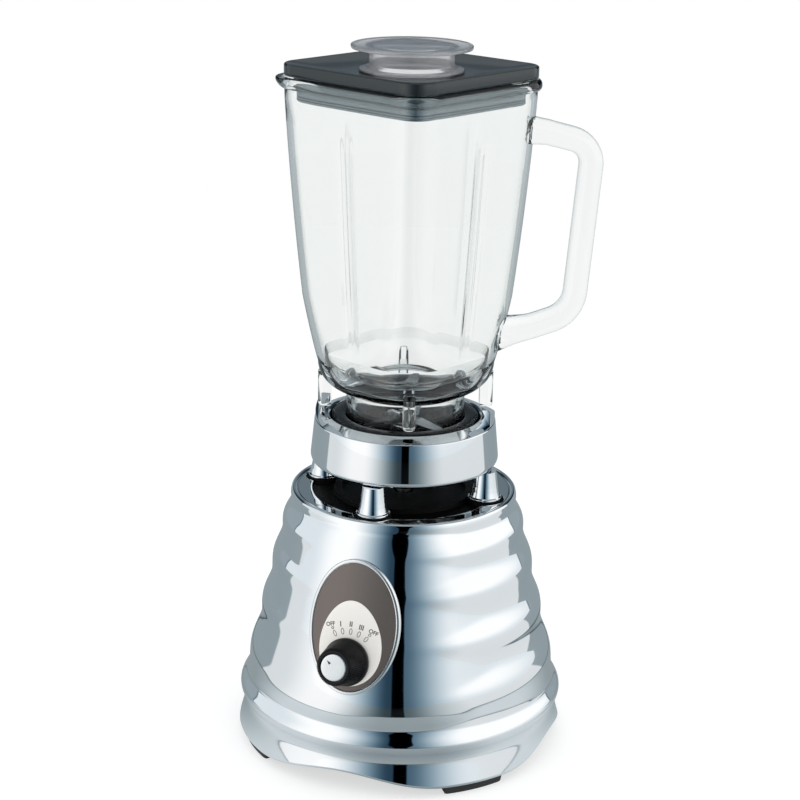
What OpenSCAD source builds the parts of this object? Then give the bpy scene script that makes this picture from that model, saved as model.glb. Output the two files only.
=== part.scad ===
// Countertop blender: rippled metal base, square glass jar, push-in lid and clear feeder cap.
// Millimetres, +Z up. The origin is on the worktop, on the motor's axis. The dial faces -Y.
// A "bearing" here is an angle counted anticlockwise, seen from above, from the dial's side.

/* [Base housing] */
// Radius of the housing at the worktop
foot_r = 85.6; // [82:0.2:88]
// Radius in the crease above the lowest band
skirt_r = 86.4; // [84:0.2:88]
// Radius in the crease below the wide band
belly_r = 83; // [80:0.2:84]
// Radius in the crease below the deck's lip
neck_r = 59.6; // [58.8:0.2:61]
// Height of the lowest band
foot_band_h = 20; // [18:0.5:24]
// Height of the second band
skirt_band_h = 16.5; // [15.5:0.5:20]
// Height of the wide band
belly_band_h = 29; // [26:0.5:32]
// Height of each of the two bands above the wide one
upper_band_h = 24.5; // [22:0.5:26]
// Height of the band below the deck
top_band_h = 18.5; // [16.5:0.5:20]
// Height of the rolled lip round the deck
lip_h = 6.8; // [5:0.1:8]
// How far the two lowest bands swell outwards
skirt_bulge = 2.7; // [1:0.1:3.5]
// How far the other bands swell outwards
band_bulge = 1.8; // [1:0.1:2.5]
// How far the housing's shoulder stands out from a straight cone
shoulder = 0.8; // [0.2:0.1:1.2]
// How far the smooth front stands out beyond the bands
front_margin = 0.5; // [0.4:0.05:0.8]
// How far the smooth front's axis lies in front of the motor's axis
front_shift = 6; // [4:0.5:7]
// Wall of the housing
housing_wall = 2.4; // [2:0.1:3]
// Rise of each arch above the foot's top
arch_rise = 6.5; // [5:0.5:8]
// Radius of the hole for the cord's bushing
bushing_r = 6; // [5:0.5:7]
// Height of the cord's bushing above the worktop
bushing_z = 28.2; // [27.4:0.2:29]
// Radius of the opening in the deck
deck_opening_r = 48.5; // [47:0.25:49]

/* [Feet and bottom cover] */
// Height of the rubber under the housing's edge
foot_lip_h = 5; // [4:0.25:6]
// Half the angle that each foot spans
foot_half_angle = 11.5; // [9:0.5:13]
// Bearing of the front feet from the dial
foot_bearing = 48; // [45:0.5:50]
// Length of the feet towards the motor's axis
foot_len = 22.6; // [20:0.2:26]
// Thickness of the bottom cover
cover_t = 2.2; // [1.8:0.1:3]
// Distance of the cover's screws inside the housing's narrowest lower crease
cover_screw_inset = 9.2; // [7.5:0.1:11]
// Radius of the screws' threads
screw_r = 2; // [1.6:0.1:2.2]

/* [Jar support] */
// Height of the posts
post_h = 15; // [12:0.5:20]
// Radius of a post at its top
post_top_r = 5.75; // [5:0.25:6.5]
// Radius of a post at its foot
post_foot_r = 8.8; // [7.8:0.1:9]
// Distance of the posts from the motor's axis
post_circle_r = 45.3; // [44.5:0.1:45.8]
// Outer radius of the ring at its foot
ring_r = 50; // [49.4:0.2:52]
// Outer radius of the ring at its top edge
ring_top_r = 47.6; // [46.8:0.2:48.4]
// Height of the ring's outer wall
ring_h = 23.6; // [20:0.2:26]
// Rise of the ring's top face towards the bore
ring_crown = 2.6; // [1.5:0.1:3]
// Height of the two ears at their step, above the ring's outer edge
ear_h = 9; // [6:0.25:9]
// Bearing that each ear's ramp spans
ear_span = 45; // [35:1:50]
// Thickness of the ring's floor
ring_floor_t = 3; // [2.5:0.1:4]
// Radius of the opening in the ring's floor
ring_floor_r = 33; // [32:0.25:34]

/* [Dial] */
// Width of the oval plate
plate_w = 49; // [44:0.5:54]
// Height of the oval plate
plate_h = 70; // [66:0.5:73]
// Height of the plate's centre above the worktop
plate_z = 89; // [86:0.5:91]
// Width of the bright rim round the plate
plate_rim_w = 2; // [1.2:0.1:3]
// Width of the pale dial face
face_w = 33.5; // [31:0.5:36]
// Height of the pale dial face
face_h = 44; // [41:0.5:46]
// How far the face's centre lies below the plate's centre
face_drop = 9.6; // [8.5:0.1:10.5]
// How far the knob's axis lies below the plate's centre
knob_drop = 19; // [17:0.25:20]
// Radius of the knob at its skirt
knob_r = 12.3; // [11:0.1:13]
// Radius of the knob at its nose
knob_nose_r = 8.6; // [7.5:0.1:9]
// Length of the knob
knob_len = 18; // [15:0.5:20]
// Number of flutes round the knob
knob_flutes = 36; // [24:2:44]
// Radius of the bright disc on the knob's nose
knob_disc_r = 6.4; // [5:0.1:7]
// Radius of the switch's shaft
switch_shaft_r = 3; // [2.5:0.1:3.2]

/* [Motor] */
// Radius of the motor's shaft
shaft_r = 4; // [3.5:0.1:4.5]
// Radius of the armature
armature_r = 22; // [20:0.5:23]
// Length of the laminated stack
stack_len = 36; // [30:1:40]
// Height of the stack's lower face
stack_z = 68; // [66:0.5:70]
// Width of the field frame
stator_w = 70; // [66:1:74]
// Air gap between the armature and the field frame
air_gap = 0.6; // [0.4:0.1:1]
// Radius of the commutator
commutator_r = 11; // [10:0.5:12]
// Outer radius of the cooling fan
fan_r = 38; // [34:0.5:40]
// Number of fan blades
fan_blades = 9; // [7:1:12]
// Distance of the motor's bolts from its axis
motor_bolt_r = 40; // [39:0.25:41]
// Outer radius of the bearings
bearing_r = 9; // [8:0.25:9.5]
// Width of the square drive stud
stud_w = 8; // [7:0.25:8.5]
// Clearance round the stud in its socket
stud_gap = 0.35; // [0.25:0.05:0.5]

/* [Jar] */
// Outer radius of the glass neck
jar_neck_r = 31; // [30:0.2:31.4]
// Inner radius of the glass neck
jar_throat_r = 26.5; // [26:0.1:27]
// Length of the neck below the jar's underside
jar_neck_h = 28; // [24:0.5:30]
// Height of the glass from its underside to the rim
jar_h = 162.3; // [140:0.1:180]
// Half the width of the body just above its rounded bottom
jar_low_half = 40.2; // [39.4:0.2:41]
// Half the width of the body below the rim
jar_top_half = 50; // [49:0.2:51]
// Corner radius of the body near the bottom
jar_low_corner = 26; // [22:0.5:28]
// Corner radius of the body at the rim
jar_top_corner = 17; // [15:0.5:19]
// Height of the body's rounded bottom
jar_round_h = 15; // [12:0.5:18]
// Wall of the glass
glass_wall = 3.2; // [2.8:0.1:3.6]
// How far the bead round the rim stands out
rim_bead = 3.4; // [2:0.1:4]
// How far the spout stands out beyond the bead
spout_reach = 3; // [1.5:0.1:4]
// Depth of the flute down each face
flute_depth = 2.2; // [1.2:0.1:2.6]
// Bearing of the handle
handle_bearing = 112.7; // [100:0.1:125]
// Reach of the handle's grip from the jar's axis
handle_reach = 93; // [88:0.5:98]
// Thickness of the handle, seen from its side
handle_t = 12.3; // [10:0.1:13]
// Width of the handle across the fingers
handle_w = 16; // [13:0.5:18]
// Radial size of the glass feet under the corners
lug_len = 7; // [6:0.25:8]
// Width of the glass feet
lug_w = 6.4; // [5:0.2:7]
// Height of the glass feet's lower ends above the ring's outer edge
lug_gap = 6.8; // [6.2:0.1:7.4]

/* [Blade unit] */
// Outer radius of the threaded base collar
collar_r = 38.6; // [38:0.1:38.8]
// Height of the base collar
collar_h = 21; // [19:0.5:22]
// Thickness of the sealing gasket
gasket_t = 2; // [1.5:0.1:2.5]
// Radius of the blade shaft
blade_shaft_r = 3.2; // [2.8:0.1:3.5]
// Reach of the blade tips from the axis
blade_reach = 24; // [21:0.5:25]
// Width of a blade at its root
blade_w = 11; // [9:0.5:12]
// Thickness of a blade
blade_t = 1.4; // [1.2:0.1:1.8]
// Angle of the bent blade tips
blade_bend = 38; // [25:1:45]

/* [Lid and cap] */
// Width of the lid
lid_w = 100.7; // [99:0.1:102]
// Corner radius of the lid
lid_corner = 17; // [15:0.5:19]
// Height of the lid's edge
lid_edge_h = 6.3; // [5:0.1:7]
// Depth of the lid's sunken top
lid_dish = 3.6; // [2.5:0.1:4]
// Width of the raised border round the sunken top
lid_border = 5; // [3:0.5:8]
// Depth of the plug below the lid's edge
plug_h = 13; // [11:0.5:16]
// Number of sealing ribs round the plug
plug_ribs = 4; // [3:1:5]
// Clearance of the widest sealing rib inside the glass
seal_gap = 0.4; // [0.3:0.05:0.6]
// Radius of the filler hole in the lid
filler_r = 22; // [20:0.25:23]
// Radius of the cap's overhanging top
cap_top_r = 30.8; // [29:0.2:33]
// Height of the cap above the sunken top
cap_h = 13; // [11:0.5:16]
// Wall of the cap
cap_wall = 2; // [1.5:0.1:2.5]
// Radius of the cap's flange
cap_flange_r = 26.5; // [25:0.1:28]

/* [Fits] */
// Gap between bodies that come apart
loose_gap = 0.3; // [0.25:0.05:0.5]
// Gap between pieces that are fixed together
fixed_gap = 0.05; // [0.04:0.01:0.1]
// Radial clearance of a shaft in its bearing
run_gap = 0.04; // [0.02:0.01:0.08]

/* [Hidden] */
$fn = 96;

chrome = "gainsboro";
black = "#1c1c1e";
rubber = "#26262a";
steel = "silver";
copper = "#b5652b";
glass = [0.86, 0.94, 0.92, 0.4];

// Housing: heights and radii of the creases, from the worktop to the deck
band_heights = [foot_band_h, skirt_band_h, belly_band_h, upper_band_h, upper_band_h, top_band_h];
function height_of(i) = i == 0 ? 0 : height_of(i - 1) + band_heights[i - 1];
crease_z = [for (i = [0 : len(band_heights)]) height_of(i)];
belly_z = crease_z[2];
neck_z = crease_z[6];
deck_z = neck_z + lip_h;
function cone_r(z) = belly_r + (neck_r - belly_r) * (z - belly_z) / (neck_z - belly_z);
// The shoulder fills the cone out, most of all a fifth of the way down
function shoulder_at(z) = shoulder * sin(180 * pow((z - belly_z) / (neck_z - belly_z), 3));
crease_r = [foot_r, skirt_r, for (i = [2 : 6]) cone_r(crease_z[i]) + shoulder_at(crease_z[i])];
lip_bulge = 0.7;
front_bulge = band_bulge + shoulder + front_margin;
front_point_power = 8;
deck_t = housing_wall;
arch_top = foot_lip_h + arch_rise;
foot_turns = [90 - foot_bearing, 90 + foot_bearing, 270 - foot_bearing, 270 + foot_bearing];
front_arch_half_w = foot_r * sin(foot_bearing - foot_half_angle);
side_arch_half_w = foot_r * cos(foot_bearing + foot_half_angle);
cover_z = arch_top + 0.5;
cover_gap = 1.2;
function foot_band_r(z) = foot_r + (skirt_r - foot_r) * z / foot_band_h;
block_r = min(foot_r, foot_band_r(cover_z)) - housing_wall - cover_gap;
cover_r = min(block_r + 1, foot_band_r(cover_z + cover_t) - housing_wall - cover_gap);
cover_screw_r = min(foot_r, skirt_r, belly_r) - cover_screw_inset;
foot_inner_r = min(foot_r, skirt_r) - foot_len;
boss_r = 4.5;
boss_z = cover_z + cover_t;

// Jar support
pad_z = deck_z - 0.4;
ring_z = pad_z + post_h;
ring_edge_z = ring_z + ring_h;
ring_bore_r = collar_r + 0.9;
cushion_t = 1.6;
seat_z = ring_z + ring_floor_t + cushion_t;
housing_plate_t = 3;
plate_top_z = deck_z - deck_t - loose_gap;
scallop_r = post_foot_r + 1.3;

// Dial: its plane leans back with the front of the housing
dial_tilt = atan((belly_r - neck_r) / (neck_z - belly_z));
dial_front = cone_r(plate_z) + front_bulge;
plate_t = 1.2;
plate_gap = 0.1;
dial_recess_t = 0.6;
knob_gap = 0.5;

// Motor
stack_top = stack_z + stack_len;
coil_h = 9;
winding_h = 7;
upper_bracket_z = stack_top + coil_h + 1.5;
bracket_t = 3.5;
lower_bracket_z = stack_z - coil_h - 14;
commutator_h = 9;
bearing_h = 8;
fan_h = 11;
fan_z = lower_bracket_z - bearing_h - fan_h - 1;
stud_z = plate_top_z + 11;
stud_h = 9;

// Jar
handle_turn = handle_bearing - 90;
jar_turn = handle_turn - 45;
collar_z = seat_z + loose_gap;
collar_floor_t = 3;
bearing_flange_t = 2;
flange_z = collar_z + collar_floor_t + fixed_gap;
gasket_z = flange_z + bearing_flange_t + fixed_gap;
neck_foot_z = gasket_z + gasket_t + fixed_gap;
jar_z = neck_foot_z + jar_neck_h;
rim_z = jar_z + jar_h;
body_z = jar_z + jar_round_h;
body_h = rim_z - body_z;
lug_z = ring_edge_z + lug_gap;
socket_z = stud_z - stud_h + 0.5;
socket_h = flange_z - socket_z - 1;
socket_r = stud_w / 2 * sqrt(2) + 2.4;

// Lid and cap
lid_z = rim_z + loose_gap;
lid_top_z = lid_z + lid_edge_h;
dish_z = lid_top_z - lid_dish;
cap_z = dish_z + loose_gap;
cap_body_r = filler_r - loose_gap - 0.2;
cap_plug_h = 10;
cap_top_t = 2;

// ---------------------------------------------------------------- helpers

// Points from a to b along a line that swells outwards in one smooth wave
function waved(a, b, height, steps) = [
    for (i = [0 : steps - 1]) let (t = i / steps)
        [a[0] + (b[0] - a[0]) * t + height * (1 - cos(360 * t)) / 2, a[1] + (b[1] - a[1]) * t]
];

// The same with an even swelling that a higher power flattens
function swollen(a, b, height, power, steps) = [
    for (i = [0 : steps]) let (t = i / steps)
        [a[0] + (b[0] - a[0]) * t + height * (1 - pow(abs(2 * t - 1), power)),
         a[1] + (b[1] - a[1]) * t]
];

// Puts its children on the dial: +Z points out of it, +Y points up it
module on_dial(up = 0, out = 0)
    translate([0, -dial_front, plate_z]) rotate([90 - dial_tilt, 0, 0])
        translate([0, up, out]) children();

module rounded_square(width, corner) {
    inner = width / 2 - corner;
    square([width, width - 2 * corner], center = true);
    square([width - 2 * corner, width], center = true);
    for (x = [-inner, inner], y = [-inner, inner]) translate([x, y]) circle(corner);
}

module tube(outer, inner, height)
    rotate_extrude() translate([inner, 0]) square([outer - inner, height]);

module ellipse(width, height)
    polygon([for (i = [0 : 71]) [width / 2 * cos(i * 5), height / 2 * sin(i * 5)]]);

// ---------------------------------------------------------------- base housing

// Outside of the housing with its ripples, below the deck's lip
module rippled_body() {
    swells = [skirt_bulge, skirt_bulge, band_bulge, band_bulge, band_bulge, band_bulge];
    outline = [for (i = [0 : 5])
        each waved([crease_r[i], crease_z[i]], [crease_r[i + 1], crease_z[i + 1]], swells[i], 8)];
    lip = swollen([neck_r, neck_z], [neck_r - 0.4, deck_z], lip_bulge, 2, 6);
    rotate_extrude() polygon(concat([[0, 0]], outline, lip, [[0, deck_z]]));
}

// The front swells smoothly over the creases and fades into them on both sides
module smooth_front() {
    low_z = belly_z + 0.8;
    high_z = neck_z - 0.8;
    outline = swollen([cone_r(low_z) - front_shift, low_z], [cone_r(high_z) - front_shift, high_z],
                      front_bulge, front_point_power, 14);
    translate([0, -front_shift, 0])
        rotate_extrude() polygon(concat([[0, low_z]], outline, [[0, high_z]]));
}

// Inside of the housing, or a little more than that where a boss bites into the wall
module housing_cavity(bite = 0) {
    wall = housing_wall - bite;
    inside = [for (i = [0 : 6]) [crease_r[i] - wall, crease_z[i]]];
    roof = [[neck_r - wall - 0.6, deck_z - deck_t], [0, deck_z - deck_t]];
    rotate_extrude() polygon(concat([[0, -1], [foot_r - wall, -1]], inside, roof));
}

// One arch, cut right through the housing from front to back
module arch_cut(half_w) {
    steps = 24;
    bell = [for (i = [0 : steps]) let (x = half_w * (2 * i / steps - 1))
        [x, foot_lip_h + arch_rise * pow(cos(90 * x / half_w), 2)]];
    far = 2 * foot_r;
    translate([0, far, 0]) rotate([90, 0, 0]) linear_extrude(2 * far)
        polygon(concat([[-far, -1], [-far, foot_lip_h]], bell, [[far, foot_lip_h], [far, -1]]));
}

module deck_hole() {
    translate([0, 0, deck_z - deck_t - 1]) {
        cylinder(r = deck_opening_r, h = deck_t + 2);
        for (turn = [0 : 90 : 270]) rotate(turn) translate([0, -post_circle_r, 0])
            cylinder(r = scallop_r, h = deck_t + 2);
    }
}

// Bosses for the cover's screws, each tied to the wall by a web
module housing_bosses() {
    boss_top = belly_z + belly_band_h / 2;
    intersection() {
        union() for (turn = foot_turns) rotate(turn) {
            translate([cover_screw_r, 0, boss_z + loose_gap])
                cylinder(r = boss_r, h = boss_top - boss_z);
            translate([cover_screw_r, -1.5, boss_z + loose_gap + 6])
                cube([20, 3, boss_top - boss_z - 6]);
        }
        housing_cavity(housing_wall / 2);
    }
}

module base_shell() {
    color(chrome) difference() {
        union() {
            difference() {
                union() {
                    rippled_body();
                    smooth_front();
                }
                housing_cavity();
            }
            housing_bosses();
        }
        arch_cut(front_arch_half_w);
        rotate(90) arch_cut(side_arch_half_w);
        deck_hole();
        on_dial(-knob_drop, -12) cylinder(r = switch_shaft_r + 2.2, h = 20);
        translate([0, skirt_r + 5, bushing_z]) rotate([90, 0, 0]) cylinder(r = bushing_r, h = 20);
        for (turn = foot_turns) rotate(turn) translate([cover_screw_r, 0, boss_z])
            cylinder(r = screw_r + fixed_gap, h = 16);
    }
}

module bottom_cover() {
    slots = 20;
    slot_w = 4;
    slot_from = fan_r - 14;
    slot_to = fan_r + 8;
    color(black) difference() {
        translate([0, 0, cover_z]) cylinder(r = cover_r, h = cover_t);
        for (turn = foot_turns) rotate(turn) translate([cover_screw_r, 0, cover_z - 1])
            cylinder(r = screw_r + fixed_gap, h = cover_t + 2);
        for (i = [0 : slots - 1]) rotate(i * 360 / slots)
            translate([slot_from, -slot_w / 2, cover_z - 1])
                cube([slot_to - slot_from, slot_w, cover_t + 2]);
    }
}

// Each foot is a block under the cover with a lip under the housing's edge
module rubber_feet() {
    lip_top = foot_lip_h - fixed_gap;
    block_top = cover_z - fixed_gap;
    outline = [[foot_inner_r, 0], [foot_r - 0.4, 0], [foot_r + 0.8, lip_top], [block_r, lip_top],
               [block_r, block_top], [foot_inner_r, block_top]];
    color(rubber) for (turn = foot_turns) rotate(turn) difference() {
        rotate(-foot_half_angle) rotate_extrude(angle = 2 * foot_half_angle) polygon(outline);
        translate([cover_screw_r, 0, -1]) cylinder(r = screw_r + fixed_gap, h = cover_z + 2);
        translate([cover_screw_r, 0, -1]) cylinder(r = 2 * screw_r + 0.5, h = 5);
    }
}

module cover_screws() {
    head_z = 4 - fixed_gap;
    color(steel) for (turn = foot_turns) rotate(turn) translate([cover_screw_r, 0, 0]) {
        translate([0, 0, head_z - 2.5]) cylinder(r = 2 * screw_r, h = 2.5);
        translate([0, 0, head_z - 0.1]) cylinder(r = screw_r, h = boss_z + 14 - head_z);
    }
}

// Black housing under the deck: it carries the posts above and the motor below
module top_housing() {
    hub_top = stud_z - stud_h - 3;
    plate_z0 = plate_top_z - housing_plate_t;
    color(black) difference() {
        union() {
            translate([0, 0, plate_z0])
                cylinder(r = neck_r - housing_wall - 1.8, h = housing_plate_t);
            for (turn = [0 : 90 : 270]) rotate(turn) translate([0, -post_circle_r, plate_z0])
                cylinder(r = post_foot_r + 0.6, h = pad_z - plate_z0);
            translate([0, 0, plate_z0]) tube(37, 33, pad_z - plate_z0);
            translate([0, 0, plate_z0 - 8]) cylinder(r = bearing_r + 3, h = hub_top - plate_z0 + 8);
            for (turn = [45 : 90 : 315]) rotate(turn)
                translate([motor_bolt_r, 0, upper_bracket_z + bracket_t + fixed_gap])
                    cylinder(r = 5, h = plate_z0 - upper_bracket_z - bracket_t);
        }
        translate([0, 0, plate_z0 - 9]) cylinder(r = bearing_r + fixed_gap, h = bearing_h + 1);
        cylinder(r = shaft_r + 1, h = hub_top + 1);
        for (turn = [0 : 90 : 270]) rotate(turn) translate([0, -post_circle_r, plate_z0 - 1])
            cylinder(r = screw_r + fixed_gap, h = 20);
        for (turn = [45 : 90 : 315]) rotate(turn) translate([motor_bolt_r, 0, upper_bracket_z])
            cylinder(r = screw_r + fixed_gap, h = 14);
    }
}

// Tapered post on a flared foot
module support_posts() {
    flare_h = 1.6;
    outline = concat([[screw_r + fixed_gap, 0], [post_foot_r, 0], [post_foot_r, 0.6]],
        [for (i = [0 : 5]) let (t = i / 5)
            [post_foot_r - 0.6 - (post_foot_r - post_top_r - 0.6) * pow(t, 0.7),
             flare_h + (post_h - flare_h) * t]],
        [[screw_r + fixed_gap, post_h]]);
    color(chrome) for (turn = [0 : 90 : 270]) rotate(turn)
        translate([0, -post_circle_r, pad_z + fixed_gap])
            rotate_extrude() polygon([for (p = outline)
                [p[0], p[1] * (post_h - 2 * fixed_gap) / post_h]]);
}

module post_screws() {
    head_z = plate_top_z - housing_plate_t - fixed_gap;
    color(steel) for (turn = [0 : 90 : 270]) rotate(turn) translate([0, -post_circle_r, 0]) {
        translate([0, 0, head_z - 2.5]) cylinder(r = 1.7 * screw_r, h = 2.5);
        translate([0, 0, head_z - 0.1]) cylinder(r = screw_r, h = ring_z - 1 - head_z);
    }
}

// One ear: a piece of wall whose top falls away from a square step
module ring_ear() {
    ear_t = 5;
    slope = atan((ear_h - 1) / (ring_top_r * sin(ear_span)));
    difference() {
        rotate_extrude(angle = ear_span) translate([ring_top_r - 0.4 - ear_t, ring_edge_z - 3])
            square([ear_t, ear_h + 3]);
        translate([ring_top_r, 0, ring_edge_z + ear_h]) rotate([-slope, 0, 0])
            translate([-ring_top_r, 0, 0]) cube([2 * ring_top_r, 2 * ring_top_r, 4 * ear_h]);
    }
}

module jar_ring() {
    corner = 4;
    round_foot = [for (a = [0 : 15 : 90])
        [ring_r - corner + corner * sin(a), ring_z + corner - corner * cos(a)]];
    outline = concat([[ring_floor_r, ring_z]], round_foot,
        [[ring_top_r, ring_edge_z - 0.8], [ring_top_r - 0.8, ring_edge_z],
         [ring_bore_r + 1, ring_edge_z + ring_crown], [ring_bore_r, ring_edge_z + ring_crown - 1],
         [ring_bore_r, ring_z + ring_floor_t], [ring_floor_r, ring_z + ring_floor_t]]);
    color(chrome) {
        rotate_extrude() polygon(outline);
        for (turn = [0, 180]) rotate(turn) ring_ear();
    }
}

module seat_cushion()
    color(rubber) translate([0, 0, ring_z + ring_floor_t + fixed_gap])
        tube(ring_bore_r - fixed_gap, ring_floor_r + 1, cushion_t - fixed_gap);

module cord_bushing() {
    color(black) translate([0, 0, bushing_z]) rotate([-90, 0, 0]) difference() {
        union() {
            translate([0, 0, skirt_r - 10]) cylinder(r = bushing_r - fixed_gap, h = 12);
            translate([0, 0, skirt_r + 1.2]) cylinder(r = bushing_r + 2, h = 2.4);
            translate([0, 0, skirt_r - 10]) cylinder(r = bushing_r - 0.6, h = 4);
        }
        translate([0, 0, skirt_r - 12]) cylinder(r = 3.6, h = 20);
    }
}

// ---------------------------------------------------------------- dial

// A layer that follows the smooth front, from one height above it to another
module front_layer(from, to) {
    module cone(out) translate([0, -front_shift, belly_z]) cylinder(
        r1 = belly_r + front_bulge - front_shift + out,
        r2 = neck_r + front_bulge - front_shift + out, h = neck_z - belly_z);
    difference() {
        cone(to);
        cone(from);
    }
}

// Egg outline, wider towards its lower end
module egg(width, height)
    polygon([for (i = [0 : 71]) let (a = i * 5)
        [width / 2 * cos(a) * (1 - 0.12 * sin(a)), height / 2 * sin(a)]]);

module dial_plate() {
    color([0.36, 0.33, 0.31]) intersection() {
        front_layer(plate_gap, plate_gap + plate_t);
        difference() {
            on_dial(0, -14) linear_extrude(24)
                ellipse(plate_w - 2 * plate_rim_w - 0.2, plate_h - 2 * plate_rim_w - 0.2);
            on_dial(-knob_drop, -14) cylinder(r = switch_shaft_r + 2.2, h = 24);
        }
    }
}

module dial_rim() {
    color(chrome) intersection() {
        front_layer(plate_gap, plate_gap + plate_t + 0.4);
        on_dial(0, -14) linear_extrude(24) difference() {
            ellipse(plate_w, plate_h);
            ellipse(plate_w - 2 * plate_rim_w, plate_h - 2 * plate_rim_w);
        }
    }
}

module dial_face() {
    color([0.93, 0.91, 0.87]) intersection() {
        front_layer(plate_gap + plate_t + fixed_gap, plate_gap + plate_t + dial_recess_t);
        difference() {
            on_dial(-face_drop, -14) linear_extrude(24) egg(face_w, face_h);
            on_dial(-knob_drop, -14) cylinder(r = switch_shaft_r + 2.2, h = 24);
        }
    }
}

face_out = plate_gap + plate_t + dial_recess_t;
knob_out = face_out + knob_gap;
nut_h = 2.5;
switch_w = 28;
switch_h = 24;
switch_depth = 16;
switch_front = -(front_bulge + housing_wall + 1.5);

module switch_body() {
    color("#3a342c") on_dial(-knob_drop, switch_front - switch_depth) difference() {
        union() {
            translate([-switch_w / 2, -switch_h / 2, 0]) cube([switch_w, switch_h, switch_depth]);
            translate([0, 0, switch_depth - 0.1])
                cylinder(r = switch_shaft_r + 2, h = face_out - switch_front - fixed_gap);
        }
        translate([0, 0, 4]) cylinder(r = switch_shaft_r + run_gap, h = 40);
    }
}

// The nut sits in the knob's hollow and clamps the plate
module switch_nut()
    color(steel) on_dial(-knob_drop, face_out + fixed_gap) difference() {
        cylinder(r = switch_shaft_r + 4, h = nut_h, $fn = 6);
        translate([0, 0, -1]) cylinder(r = switch_shaft_r + run_gap, h = nut_h + 2);
    }

module switch_shaft()
    color(steel) on_dial(-knob_drop, switch_front - switch_depth + 4.5)
        cylinder(r = switch_shaft_r, h = knob_out + knob_len - 6 - switch_front + switch_depth - 4.5);

// Fluted cone, hollow over the nut
module control_knob() {
    flute = 0.55;
    color(black) on_dial(-knob_drop, knob_out) difference() {
        rotate_extrude() polygon([[0, 0], [knob_r, 0], [knob_r, 3],
            [knob_nose_r + 0.8, knob_len - 1.2], [knob_nose_r, knob_len], [0, knob_len]]);
        for (i = [0 : knob_flutes - 1]) rotate(i * 360 / knob_flutes)
            translate([knob_r, 0, 3]) rotate([0, -atan((knob_r - knob_nose_r) / knob_len), 0])
                translate([0.2, 0, -1]) cylinder(r = flute, h = knob_len - 2);
        translate([0, 0, -1]) cylinder(r = switch_shaft_r + 5, h = nut_h + 2);
        cylinder(r = switch_shaft_r + fixed_gap, h = knob_len - 5.5);
        translate([0, 0, knob_len - 0.8]) cylinder(r = knob_disc_r + fixed_gap, h = 2);
    }
}

module knob_disc()
    color("white") on_dial(-knob_drop, knob_out + knob_len - 0.8 + fixed_gap)
        cylinder(r = knob_disc_r, h = 1);

// ---------------------------------------------------------------- motor

// Two crossed arms that the motor's bolts pass through
module bracket_arms(z, width, disc_r) {
    difference() {
        translate([0, 0, z]) {
            for (turn = [45, 135]) rotate(turn)
                translate([-motor_bolt_r - 6, -width / 2, 0])
                    cube([2 * motor_bolt_r + 12, width, bracket_t]);
            cylinder(r = disc_r, h = bracket_t);
        }
        for (turn = [45 : 90 : 315]) rotate(turn) translate([motor_bolt_r, 0, z - 1])
            cylinder(r = screw_r + fixed_gap, h = bracket_t + 2);
    }
}

module upper_bracket()
    color(steel) difference() {
        bracket_arms(upper_bracket_z, 12, 16);
        translate([0, 0, upper_bracket_z - 1]) cylinder(r = shaft_r + 2, h = bracket_t + 2);
    }

// The lower bracket has a cup for the bearing
module lower_bracket()
    color(steel) difference() {
        union() {
            bracket_arms(lower_bracket_z, 14, 20);
            translate([0, 0, lower_bracket_z - bearing_h + 1.5])
                cylinder(r = bearing_r + 3, h = bearing_h + 2);
        }
        translate([0, 0, lower_bracket_z - bearing_h])
            cylinder(r = bearing_r + fixed_gap, h = bearing_h + 1.5);
        cylinder(r = shaft_r + 1, h = stack_z);
    }

module motor_bolts() {
    foot_z = lower_bracket_z - fixed_gap;
    color(steel) for (turn = [45 : 90 : 315]) rotate(turn) translate([motor_bolt_r, 0, 0]) {
        translate([0, 0, foot_z - 3]) cylinder(r = 2 * screw_r, h = 3);
        translate([0, 0, foot_z - 0.1])
            cylinder(r = screw_r, h = upper_bracket_z + bracket_t + 8 - foot_z);
    }
}

// Field frame: a laminated block with two pole faces round the armature
module stator_core()
    color("dimgray") translate([0, 0, stack_z]) linear_extrude(stack_len) difference() {
        rounded_square(stator_w, 12);
        circle(armature_r + air_gap);
        for (side = [-1, 1]) translate([side * (armature_r + 2), 0])
            square([14, 2 * armature_r - 14], center = true);
        for (turn = [45 : 90 : 315]) rotate(turn) translate([motor_bolt_r, 0])
            circle(screw_r + fixed_gap);
    }

// One coil through each slot of the field frame, standing out above and below it
module field_coils() {
    coil_w = 7;
    coil_l = 2 * armature_r - 16;
    color(copper) for (side = [-1, 1])
        translate([side * (armature_r + 5) - coil_w / 2, -coil_l / 2, stack_z - coil_h + 1])
            cube([coil_w, coil_l, stack_len + 2 * coil_h - 2]);
}

module upper_bearing()
    color(steel) translate([0, 0, plate_top_z - housing_plate_t - 8])
        tube(bearing_r, shaft_r + run_gap, bearing_h - fixed_gap);

module lower_bearing()
    color(steel) translate([0, 0, lower_bracket_z - bearing_h + 1.5])
        tube(bearing_r, shaft_r + run_gap, bearing_h - fixed_gap);

commutator_z = lower_bracket_z + bracket_t + 1.5;
brush_z = commutator_z + commutator_h / 2;

brush_w = 5;
brush_len = 14;
brush_wall = 1.5;
holder_len = 18;

// Square tubes on the lower bracket, one on each side of the commutator
module brush_holders() {
    outer = brush_w + 2 * brush_wall;
    hole = brush_w + 2 * fixed_gap;
    foot_z = lower_bracket_z + bracket_t + fixed_gap;
    color("#5a4632") for (turn = [0, 180]) rotate(turn) difference() {
        union() {
            translate([commutator_r + 2, -outer / 2, brush_z - outer / 2])
                cube([holder_len, outer, outer]);
            translate([commutator_r + 2, -outer / 2, foot_z])
                cube([holder_len / 3, outer, brush_z - outer / 2 + 1 - foot_z]);
        }
        translate([commutator_r, -hole / 2, brush_z - hole / 2]) cube([holder_len, hole, hole]);
    }
}

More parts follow.
